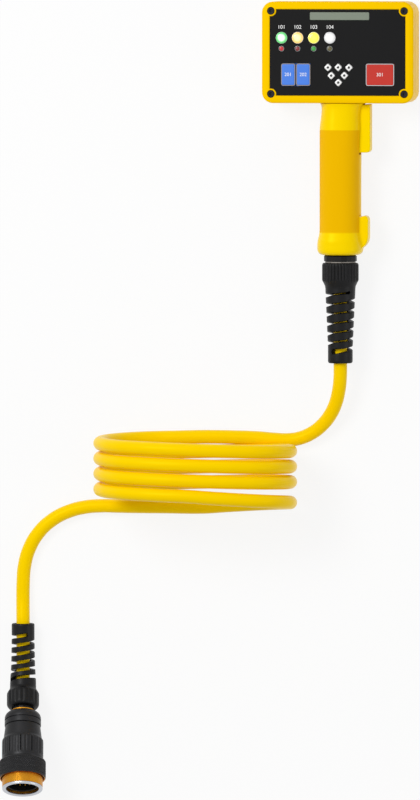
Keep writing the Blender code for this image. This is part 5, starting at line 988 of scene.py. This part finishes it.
def plug_shell(settings, finish):
    """Tapered body with a fluted grip zone and some deep slots."""
    profile = [(0.0132, 0.0325), (0.0155, 0.0325), (0.0158, 0.0328), (0.0172, 0.0440), (0.0178, 0.0452),
               (0.0184, 0.0462), (SHELL_WIDE, 0.0478), (SHELL_WIDE, 0.0640), (0.0183, 0.0653), (0.0178, 0.0655),
               (BARREL_BORE, 0.0655), (BARREL_BORE, 0.0603), (0.0132, 0.0577)]
    thing = new_object("plug_shell_body", lathe("plug_shell", dense(profile, 0.0008), settings.flutes * 14))
    add_tree(thing, bpy.data.node_groups["knurl"], Radius=SHELL_WIDE, Count=float(settings.flutes), Depth=0.0004,
             Sharpness=1.6, Phase=0.0, Middle=0.0535, Half=0.0085, Material=finish)
    add_tree(thing, bpy.data.node_groups["knurl"], Radius=SHELL_WIDE, Count=settings.flutes / 3, Depth=0.0013,
             Sharpness=9.0, Phase=0.15, Middle=0.0537, Half=0.0075, Material=finish)
    return polish(moved(settle(thing), plug_matrix()), 30.0)


def coupling_ring(settings, finish, brass):
    """Knurled ring; the black finish is turned away on its front inner edge, where the brass shows."""
    profile = [(0.0176, 0.0659), (0.0196, 0.0659), (0.0205, 0.0663), (0.0209, 0.0671), (RING_WIDE, 0.0680),
               (RING_WIDE, 0.0812), (0.0208, 0.0818), (0.0205, 0.0823), (0.0202, 0.0826), (0.0199, 0.0826),
               (0.0193, 0.0818), (0.0193, 0.0689), (0.0176, 0.0689)]
    thing = new_object("coupling_ring_body", lathe("coupling_ring", dense(profile, 0.00035), settings.knurls * 8))
    add_tree(thing, bpy.data.node_groups["knurl"], Radius=RING_WIDE, Count=float(settings.knurls), Slant=settings.slant,
             Depth=0.0006, Middle=0.0745, Half=0.0069, Material=finish)
    settle(thing).data.materials.append(brass)
    for face in thing.data.polygons:
        if face.center.z > 0.0816 and math.hypot(face.center.x, face.center.y) < 0.0202:
            face.material_index = 1
    return polish(moved(thing, plug_matrix()), 30.0)


def plug_barrel():
    """Brass barrel with turning marks on its free end."""
    profile = [(BARREL_BORE, 0.0910), (BARREL_BORE, 0.0658), (0.0172, 0.0658), (0.0172, 0.0693),
               (BARREL_WIDE, 0.0693), (BARREL_WIDE, 0.0822)]
    for mark in range(15):
        start = 0.0826 + 0.00055 * mark
        profile += [(BARREL_WIDE, start), (BARREL_WIDE, start + 0.0003), (BARREL_WIDE - 0.00008, start + 0.0004)]
    return turned("barrel", profile + [(BARREL_WIDE, 0.0909), (0.0181, 0.0910)], 128)


def barrel_rim():
    """Silver front rim with a round lip."""
    return turned("rim", [(BARREL_BORE, 0.0913), (BARREL_WIDE, 0.0913), (BARREL_WIDE, 0.0921), (0.0180, 0.0927),
                          (0.0175, 0.0931), (0.0165, 0.0931), (0.0155, 0.0928), (BARREL_BORE, 0.0922)], 128)


def pin_insert():
    """Black insert: a recessed face with a raised wall round it."""
    return turned("insert", [(0.0, 0.0680), (BARREL_BORE - GAP, 0.0680), (BARREL_BORE - GAP, 0.0892),
                             (0.0140, 0.0896), (0.0131, 0.0896), (0.0126, 0.0892), (0.0122, 0.0815),
                             (0.0119, 0.0800), (0.0, 0.0800)], 96)


def contact_pins(finish):
    """Nineteen gold pins: one, six and twelve."""
    pin = [(0.0, 0.0795), (0.0008, 0.0795), (0.0008, 0.0847), (0.0006, 0.0853), (0.0003, 0.0855), (0.0, 0.0855)]
    places = [(0.0, 0.0)] + circle(0.0045, 6) + circle(0.0090, 12, math.pi / 12)
    thing = copies("contact_pins", lathe("pin", pin, 16), raised(places, 0.0), finish)
    return polish(moved(thing, plug_matrix()))


def cover_screw():
    """Socket head screw with a hexagon recess."""
    thing = new_object("screw", lathe("screw", [
        (0.0, 0.0430), (SCREW_RADIUS - 0.0004, 0.0430), (SCREW_RADIUS, 0.0426), (SCREW_RADIUS, SCREW_SEAT + GAP),
        (0.0020, SCREW_SEAT + GAP), (0.0020, 0.0122),
        (0.0018, 0.0120), (0.0, 0.0120)], 40))
    socket = lofted("socket", [raised(circle(0.0017, 6), 0.0406), raised(circle(0.0017, 6), 0.0428),
                               raised(circle(0.0019, 6), 0.0432)])
    mesh = boolean(thing, "DIFFERENCE", socket).data
    bpy.data.objects.remove(thing)
    return mesh


def border(outline, wall, low, high, place):
    """A thin raised rim inside an outline, given as a function of how far it is drawn in."""
    rings = [raised(outline(inset), z) for inset, z in ((0.0, low), (0.0, high), (wall, high), (wall, low))]
    return lofted("border", rings, True, Matrix.Translation((*place, 0.0)))


def direct_rays(tree):
    """Node that is 1 for what the camera sees straight, in a mirror or through a clear piece."""
    rays = node(tree, "ShaderNodeLightPath")
    seen = node(tree, MATH, {0: rays.outputs["Is Camera Ray"], 1: rays.outputs["Is Glossy Ray"]}, operation="ADD")
    return node(tree, MATH, {0: seen, 1: rays.outputs["Is Transmission Ray"]}, operation="ADD", use_clamp=True)


# Settings

class StageSettings(bpy.types.PropertyGroup):
    """Light, floor and camera."""
    key_power: FloatProperty(name="Key light", description="Power of the large light above", default=24.8, unit="POWER")
    side_power: FloatProperty(name="Side light", description="Power of the light on the right", default=5.0,
                              unit="POWER")
    sky: FloatProperty(name="Sky", description="Strength of the even light from all round", default=0.5)
    floor_white: FloatProperty(name="Floor white", description="Share of the floor shown plain white to the camera",
                               default=0.86, subtype="FACTOR")
    distance: FloatProperty(name="Distance", description="Camera's distance", default=10.0, unit="LENGTH")
    field: FloatProperty(name="Field", description="Height of the picture at the floor", default=0.7200, unit="LENGTH")
    azimuth: FloatProperty(name="Azimuth", description="Camera's lean to the right, seen from the grip's end",
                           default=math.radians(8.05), subtype="ANGLE")
    lean: FloatProperty(name="Lean", description="Camera's lean towards the head's top", default=math.radians(2.86),
                        subtype="ANGLE")


class KeypadSettings(bpy.types.PropertyGroup):
    """Lamps and print."""
    glow: FloatProperty(name="Lamp glow", description="How brightly the round lamps shine", default=0.2)
    figure_height: FloatProperty(name="Figure height", description="Height of the printed figures", default=3.4 * MM,
                                 unit="LENGTH")


class GripSettings(bpy.types.PropertyGroup):
    """The grip and its trigger."""
    web: FloatProperty(name="Web", description="How far the neck runs out over the trigger's top, as a share",
                       default=0.3, subtype="FACTOR")
    voxel: FloatProperty(name="Blend size", description="Cell of the skin that blends grip and finger stop",
                         default=0.6 * MM, unit="LENGTH")
    trigger_edge: FloatProperty(name="Trigger edge", description="Round of the trigger's edges", default=0.9 * MM,
                                unit="LENGTH")


class PlugSettings(bpy.types.PropertyGroup):
    """Both glands, their spirals and the plug."""
    ribs: IntProperty(name="Nut ribs", description="Grip ribs round the upper nut", default=32)
    upper_turns: FloatProperty(name="Upper turns", description="Turns of the upper spiral slot", default=6.25)
    lobes: IntProperty(name="Nut lobes", description="Broad grip lobes round the plug's nut", default=14)
    lower_turns: FloatProperty(name="Lower turns", description="Turns of the lower spiral slot", default=5.35)
    flutes: IntProperty(name="Flutes", description="Flutes round the plug's shell; each third slot is deep", default=33)
    knurls: IntProperty(name="Knurls", description="Diamonds round the coupling ring", default=64)
    slant: FloatProperty(name="Knurl slant", description="Turns of a knurl line for each metre along the axis",
                         default=440.0)


class LeadSettings(bpy.types.PropertyGroup):
    """The free lead."""
    diameter: FloatProperty(name="Diameter", description="Outside diameter of the sheath", default=2 * CORD_RADIUS,
                            unit="LENGTH")
    per_turn: IntProperty(name="Points a turn", description="Curve points in each turn of the coil", default=20)


# Operators

class HOIST_OT_stage(bpy.types.Operator):
    """Camera, lights, sky and floor"""
    bl_idname = "hoist.stage"
    bl_label = "Stage"

    def execute(self, context):
        settings = context.scene.hoist_stage
        aim = Vector((-0.1211, -0.1971, 0.0))
        back = Vector((math.tan(settings.azimuth), math.tan(settings.lean), 1.0)).normalized()
        right = Vector((0.0, 1.0, 0.0)).cross(back).normalized()
        camera = bpy.data.objects.new("camera", bpy.data.cameras.new("camera"))
        context.scene.collection.objects.link(camera)
        turn = Matrix((right, back.cross(right), back)).transposed().to_4x4()
        camera.matrix_world = Matrix.Translation(aim + back * settings.distance) @ turn
        camera.data.sensor_width = 36.0
        camera.data.lens = 36.0 * settings.distance / settings.field
        camera.data.clip_end = 100.0
        context.scene.camera = camera
        for name, power, place, size in (
                ("key", settings.key_power, (-0.9, 0.8, 1.9), 0.9),
                ("side", settings.side_power, (1.9, -0.4, 0.9), 0.8)):
            lamp = bpy.data.lights.new(name, "AREA")
            lamp.energy = power
            lamp.size = size
            light = bpy.data.objects.new(name, lamp)
            context.scene.collection.objects.link(light)
            light.location = Vector(place) + Vector((-0.1, -0.15, 0.0))
            light.rotation_euler = (-Vector(place)).to_track_quat("-Z", "Y").to_euler()
        world = bpy.data.worlds.new("studio")
        context.scene.world = world
        world.use_nodes = True
        tree = world.node_tree
        tree.nodes.clear()
        power = node(tree, "ShaderNodeMapRange", {0: direct_rays(tree), 3: settings.sky, 4: 1.0})
        sky = node(tree, "ShaderNodeBackground", {"Color": (1.0, 1.0, 1.0, 1.0), "Strength": power})
        node(tree, "ShaderNodeOutputWorld", {"Surface": sky})

        paper = bpy.data.materials.new("white_studio_paper")
        paper.use_nodes = True
        tree = paper.node_tree
        tree.nodes.clear()
        share = node(tree, MATH, {0: direct_rays(tree), 1: settings.floor_white}, operation="MULTIPLY")
        matt = node(tree, "ShaderNodeBsdfDiffuse", {"Color": linear("#F4F4F4")})
        bright = node(tree, "ShaderNodeEmission", {"Color": (1.0, 1.0, 1.0, 1.0), "Strength": 1.0})
        mixed = node(tree, "ShaderNodeMixShader", {0: share, 1: matt, 2: bright})
        node(tree, "ShaderNodeOutputMaterial", {"Surface": mixed})
        bm = bmesh.new()
        bmesh.ops.create_grid(bm, x_segments=8, y_segments=8, size=8.0)
        mesh = bpy.data.meshes.new("floor")
        bm.to_mesh(mesh)
        bm.free()
        mesh.materials.append(paper)
        mesh.transform(Matrix.Translation((0.0, 0.0, -0.0002)))
        new_object("floor", mesh)
        context.scene.view_settings.view_transform = "Standard"
        return {"FINISHED"}


class HOIST_OT_frame(bpy.types.Operator):
    """The head's front frame with its rim, pocket and screw wells"""
    bl_idname = "hoist.frame"
    bl_label = "Front frame"

    def execute(self, context):
        piece = dress(head_frame(), bpy.data.materials["yellow_abs_moulded"])
        hand_in(piece, "body_yellow", "front_bezel")
        return {"FINISHED"}


class HOIST_OT_grip(bpy.types.Operator):
    """The two half shells of the grip with the finger stop, and the trigger"""
    bl_idname = "hoist.grip"
    bl_label = "Grip"

    def execute(self, context):
        settings = context.scene.hoist_grip
        finish = grip_finish()
        for piece, name in zip(grip_halves(settings.web, settings.voxel), ("grip_front", "grip_rear")):
            hand_in(polish(dress(piece, finish), 40.0), "body_yellow", name)
        hand_in(dress(trigger_shape(settings.trigger_edge), bpy.data.materials["yellow_abs_light"]),
                "body_yellow", "trigger", body="trigger")
        return {"FINISHED"}


class HOIST_OT_lamps(bpy.types.Operator):
    """Four round lamps and four small ones, each with its pale ring"""
    bl_idname = "hoist.lamps"
    bl_label = "Lamps"

    def execute(self, context):
        settings = context.scene.hoist_keypad
        face = PANEL_FACE
        for name, place in zip(LAMP_NAMES, LAMP_PLACES):
            profile = [(0.0, face + 0.0011), (0.0010, face + 0.00108)]
            for step in range(1, 7):
                turn = math.radians(15.0 * step)
                profile.append((0.0010 + 0.0034 * math.sin(turn), face + 0.0003 + 0.00078 * math.cos(turn)))
            profile += [(0.0045, face + 0.00025), (0.0047, face + 0.00045), (0.0050, face + 0.0004),
                        (0.0051, face + 0.0001), (0.0051, SEAT_HIGH), (0.0061, SEAT_HIGH), (0.0061, SEAT_LOW),
                        (0.0031, SEAT_LOW), (0.0031, BOARD_TOP), (0.0, BOARD_TOP)]
            mesh = lathe("lamp", profile, 48, Matrix.Translation((*place, 0.0)))
            # Polycarbonate lens, milky, lit from behind
            finish = lens(f"{name}_lamp_lens", place, LAMP_STOPS[name], 0.12, settings.glow)
            piece = polish(new_object(f"{name}_lamp", mesh, finish))
            hand_in(piece, "lens_" + name, "lamp_" + name)
        for number, (place, code) in enumerate(zip(LED_PLACES, LED_CORES), 1):
            profile = [(0.0, face + 0.0009), (0.0008, face + 0.00085), (0.0015, face + 0.0006), (0.0020, face + 0.0002),
                       (0.0021, face + 0.0002), (0.0022, face + 0.0005), (0.0024, face + 0.00045),
                       (0.0025, face), (0.0025, BOARD_TOP), (0.0, BOARD_TOP)]
            mesh = lathe("led", profile, 32, Matrix.Translation((*place, 0.0)))
            # Small LED in a grey retaining ring
            stops = ((0.0, code), (1.8, code), (2.05, "#30302E"), (2.2, "#B9BCBB"), (2.5, "#9B9F9F"))
            piece = polish(new_object(f"led_{number}", mesh, lens(f"led_{number}_lens", place, stops, 0.2, 0.0)))
            hand_in(piece, "lens_red", f"status_led_{number}")
        return {"FINISHED"}


class HOIST_OT_keys(bpy.types.Operator):
    """The keys with their moulded edges and printed figures"""
    bl_idname = "hoist.keys"
    bl_label = "Keys"

    def execute(self, context):
        settings = context.scene.hoist_keypad
        face = PANEL_FACE + 0.0011
        white = bpy.data.materials["white_silicone"]
        # Silicone keys: matt body colour, lighter where the moulded edge catches the light
        blue = surface("blue_silicone", "#3F7FE6", "#3878E0", (0.42, 0.54), 8, 0.5, 0.01)
        red = surface("red_silicone", "#CA3428", "#C22F24", (0.42, 0.54), 8, 0.5, 0.01, Specular_IOR_Level=0.25)
        taupe, pale = bpy.data.materials["taupe_ink"], bpy.data.materials["pale_grey_ink"]
        for name, x, wide, finish, slot, figure in (
                ("blue_key_left", -0.0444, 0.0126, blue, "key_blue", "201"),
                ("blue_key_right", -0.0308, 0.0126, blue, "key_blue", "202"),
                ("red_key", 0.0383, 0.0253, red, "key_red", "301")):
            flange = rounded(wide + (0.0004 if wide < 0.02 else 0.0028), 0.0225, 0.0010)
            rings = key_rings(lambda inset: rounded(wide - KEY_RIM - 2 * inset, KEY_TALL - KEY_RIM - 2 * inset,
                                                    0.0014 - 0.5 * inset), flange, face)
            mesh = lofted(name, rings, matrix=Matrix.Translation((x, KEY_ROW, 0.0)))
            hand_in(polish(new_object(name + "_cap", mesh, finish), 50.0), slot, name, body=name)
            # A thin rim round each key in a lighter grey: painted highlight where the moulded edge catches the light
            line = border(lambda inset: rounded(wide - 2 * inset, KEY_TALL - 2 * inset, 0.0018 - inset),
                          KEY_RIM / 2 + 0.00005, SEAT_HIGH, face - 0.0004, (x, KEY_ROW))
            hand_in(new_object(name + "_rim", line, taupe if wide < 0.02 else pale), "moulded_black", body=name)
            mark = text_mesh(figure, settings.figure_height * 0.92, 0.00008, (x, KEY_ROW, face + 0.00003))
            hand_in(new_object(name + "_mark", mark, white), "key_white", body=name)
        for number in range(1, 7):
            name = f"arrow_key_{number}"
            low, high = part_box(name)
            x, y = (low.x + high.x) / 2, (low.y + high.y) / 2

            def diamond(inset):
                side = 0.0050 - 2 * inset
                return [((u - v) * math.sqrt(0.5), (u + v) * math.sqrt(0.5))
                        for u, v in rounded(side, side, 0.0011 - 0.4 * inset, 6)]

            rings = key_rings(diamond, diamond(-0.0005), face)[:-1]
            hole = circle(0.0011, len(rings[0]), math.pi / 4 + math.radians(0.5))
            rings += [raised(hole, face), raised(hole, face - 0.0003)]
            mesh = lofted(name, rings, matrix=Matrix.Translation((x, y, 0.0)))
            # White key with a black-filled dimple
            stops = ((0.0, "#0A0A0A"), (1.1, "#101010"), (1.18, "#F6F6F4"), (3.0, "#FFFFFF"))
            finish = lens(f"arrow_key_{number}_finish", (x, y), stops, 0.4, 0.0)
            hand_in(polish(new_object(name + "_cap", mesh, finish), 50.0), "key_white", name, body=name)
        figures = [text_mesh(str(number), settings.figure_height, 0.00006, (x, FIGURE_ROW, PANEL_FACE + 0.00002))
                   for number, (x, _) in enumerate(LAMP_PLACES, 101)]
        hand_in(new_object("panel_print", merged("panel_print", figures), white), "key_white")
        return {"FINISHED"}


class HOIST_OT_trees(bpy.types.Operator):
    """Geometry node trees that the pieces share"""
    bl_idname = "hoist.trees"
    bl_label = "Trees"

    def execute(self, context):
        for make in (knurl_tree, spiral_tree, copies_tree):
            make()
        return {"FINISHED"}


class HOIST_OT_screws(bpy.types.Operator):
    """Four blackened socket head screws in the frame's wells"""
    bl_idname = "hoist.screws"
    bl_label = "Cover screws"

    def execute(self, context):
        screws = copies("cover_screws", cover_screw(), [(x, y, 0.0) for x, y in SCREW_PLACES],
                        bpy.data.materials["blackened_steel"])
        hand_in(polish(screws), "moulded_black", *[f"cover_screw_{number}" for number in range(1, 5)])
        return {"FINISHED"}


class HOIST_OT_gland(bpy.types.Operator):
    """The upper gland's ribbed nut with its spiral relief"""
    bl_idname = "hoist.gland"
    bl_label = "Upper gland"

    def execute(self, context):
        nylon = bpy.data.materials["black_nylon_moulded"]
        hand_in(gland_nut(context.scene.hoist_plug, nylon), "moulded_black", "gland_nut")
        return {"FINISHED"}


class HOIST_OT_plug(bpy.types.Operator):
    """The plug: relief nut, backshell, fluted shell, knurled ring, barrel, rim, insert and pins"""
    bl_idname = "hoist.plug"
    bl_label = "Plug"

    def execute(self, context):
        settings = context.scene.hoist_plug
        nylon, anodised, brass, steel, gold = (bpy.data.materials[name] for name in (
            "black_nylon_moulded", "black_anodised_aluminium", "turned_brass", "zinc_plated_steel",
            "gold_plated_contact"))
        hand_in(plug_relief(settings, nylon), "moulded_black", "plug_strain_relief")
        hand_in(dress(backshell(), anodised), "black_anodised", "backshell")
        hand_in(plug_shell(settings, anodised), "black_anodised", "plug_shell")
        hand_in(coupling_ring(settings, anodised, brass), "black_anodised", "coupling_ring", body="coupling_ring")
        hand_in(dress(plug_barrel(), brass), "brass", "plug_barrel")
        hand_in(dress(barrel_rim(), steel), "steel", "barrel_rim")
        hand_in(dress(pin_insert(), nylon), "moulded_black", "pin_insert")
        hand_in(contact_pins(gold), "brass")
        return {"FINISHED"}


class HOIST_OT_lead(bpy.types.Operator):
    """The yellow lead, from the gland through its coil to the plug"""
    bl_idname = "hoist.lead"
    bl_label = "Lead"

    def execute(self, context):
        settings = context.scene.hoist_lead
        curve = bpy.data.curves.new("lead", "CURVE")
        curve.dimensions = "3D"
        curve.bevel_depth = settings.diameter / 2
        curve.bevel_resolution = 8
        curve.use_fill_caps = True
        curve.resolution_u = 8
        points = lead_points(settings.per_turn)
        spline = curve.splines.new("BEZIER")
        spline.bezier_points.add(len(points) - 1)
        for knot, point in zip(spline.bezier_points, points):
            knot.co = point
            knot.handle_left_type = knot.handle_right_type = "AUTO"
        lead = bpy.data.objects.new("lead", curve)
        context.scene.collection.objects.link(lead)
        curve.materials.append(bpy.data.materials["yellow_pvc_sheath"])
        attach(lead, "root" if "root" in frame["bodies"] else "handset")
        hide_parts("cord_upper", "cord_coil", "cord_lower")
        return {"FINISHED"}


class HOIST_OT_finishes(bpy.types.Operator):
    """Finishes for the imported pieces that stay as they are"""
    bl_idname = "hoist.finishes"
    bl_label = "Finishes"

    def execute(self, context):
        finishes = plain_finishes()
        for name, finish in NODE_FINISHES.items():
            mesh = frame["nodes"][name].data
            mesh.materials.clear()
            mesh.materials.append(finishes[finish])
        return {"FINISHED"}


SETTINGS = {"hoist_stage": StageSettings, "hoist_keypad": KeypadSettings, "hoist_grip": GripSettings,
            "hoist_plug": PlugSettings, "hoist_lead": LeadSettings}
OPERATORS = (HOIST_OT_stage, HOIST_OT_finishes, HOIST_OT_trees, HOIST_OT_frame, HOIST_OT_screws, HOIST_OT_grip,
             HOIST_OT_lamps, HOIST_OT_keys, HOIST_OT_gland, HOIST_OT_plug, HOIST_OT_lead)


class HOIST_PT_build(bpy.types.Panel):
    """Lists the steps of the build"""
    bl_label = "Hoist Remote Control"
    bl_space_type = "VIEW_3D"
    bl_region_type = "UI"
    bl_category = "Hoist Remote"

    def draw(self, context):
        for operator in OPERATORS:
            self.layout.operator(operator.bl_idname)


def register():
    for settings in SETTINGS.values():
        bpy.utils.register_class(settings)
    for cls in (*OPERATORS, HOIST_PT_build):
        bpy.utils.register_class(cls)
    for name, settings in SETTINGS.items():
        setattr(bpy.types.Scene, name, PointerProperty(type=settings))


def unregister():
    for name in SETTINGS:
        delattr(bpy.types.Scene, name)
    for cls in (HOIST_PT_build, *reversed(OPERATORS), *SETTINGS.values()):
        bpy.utils.unregister_class(cls)


def main():
    register()
    for operator in OPERATORS:
        group, name = operator.bl_idname.split(".")
        getattr(getattr(bpy.ops, group), name)()
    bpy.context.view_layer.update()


if __name__ == "__main__":
    main()
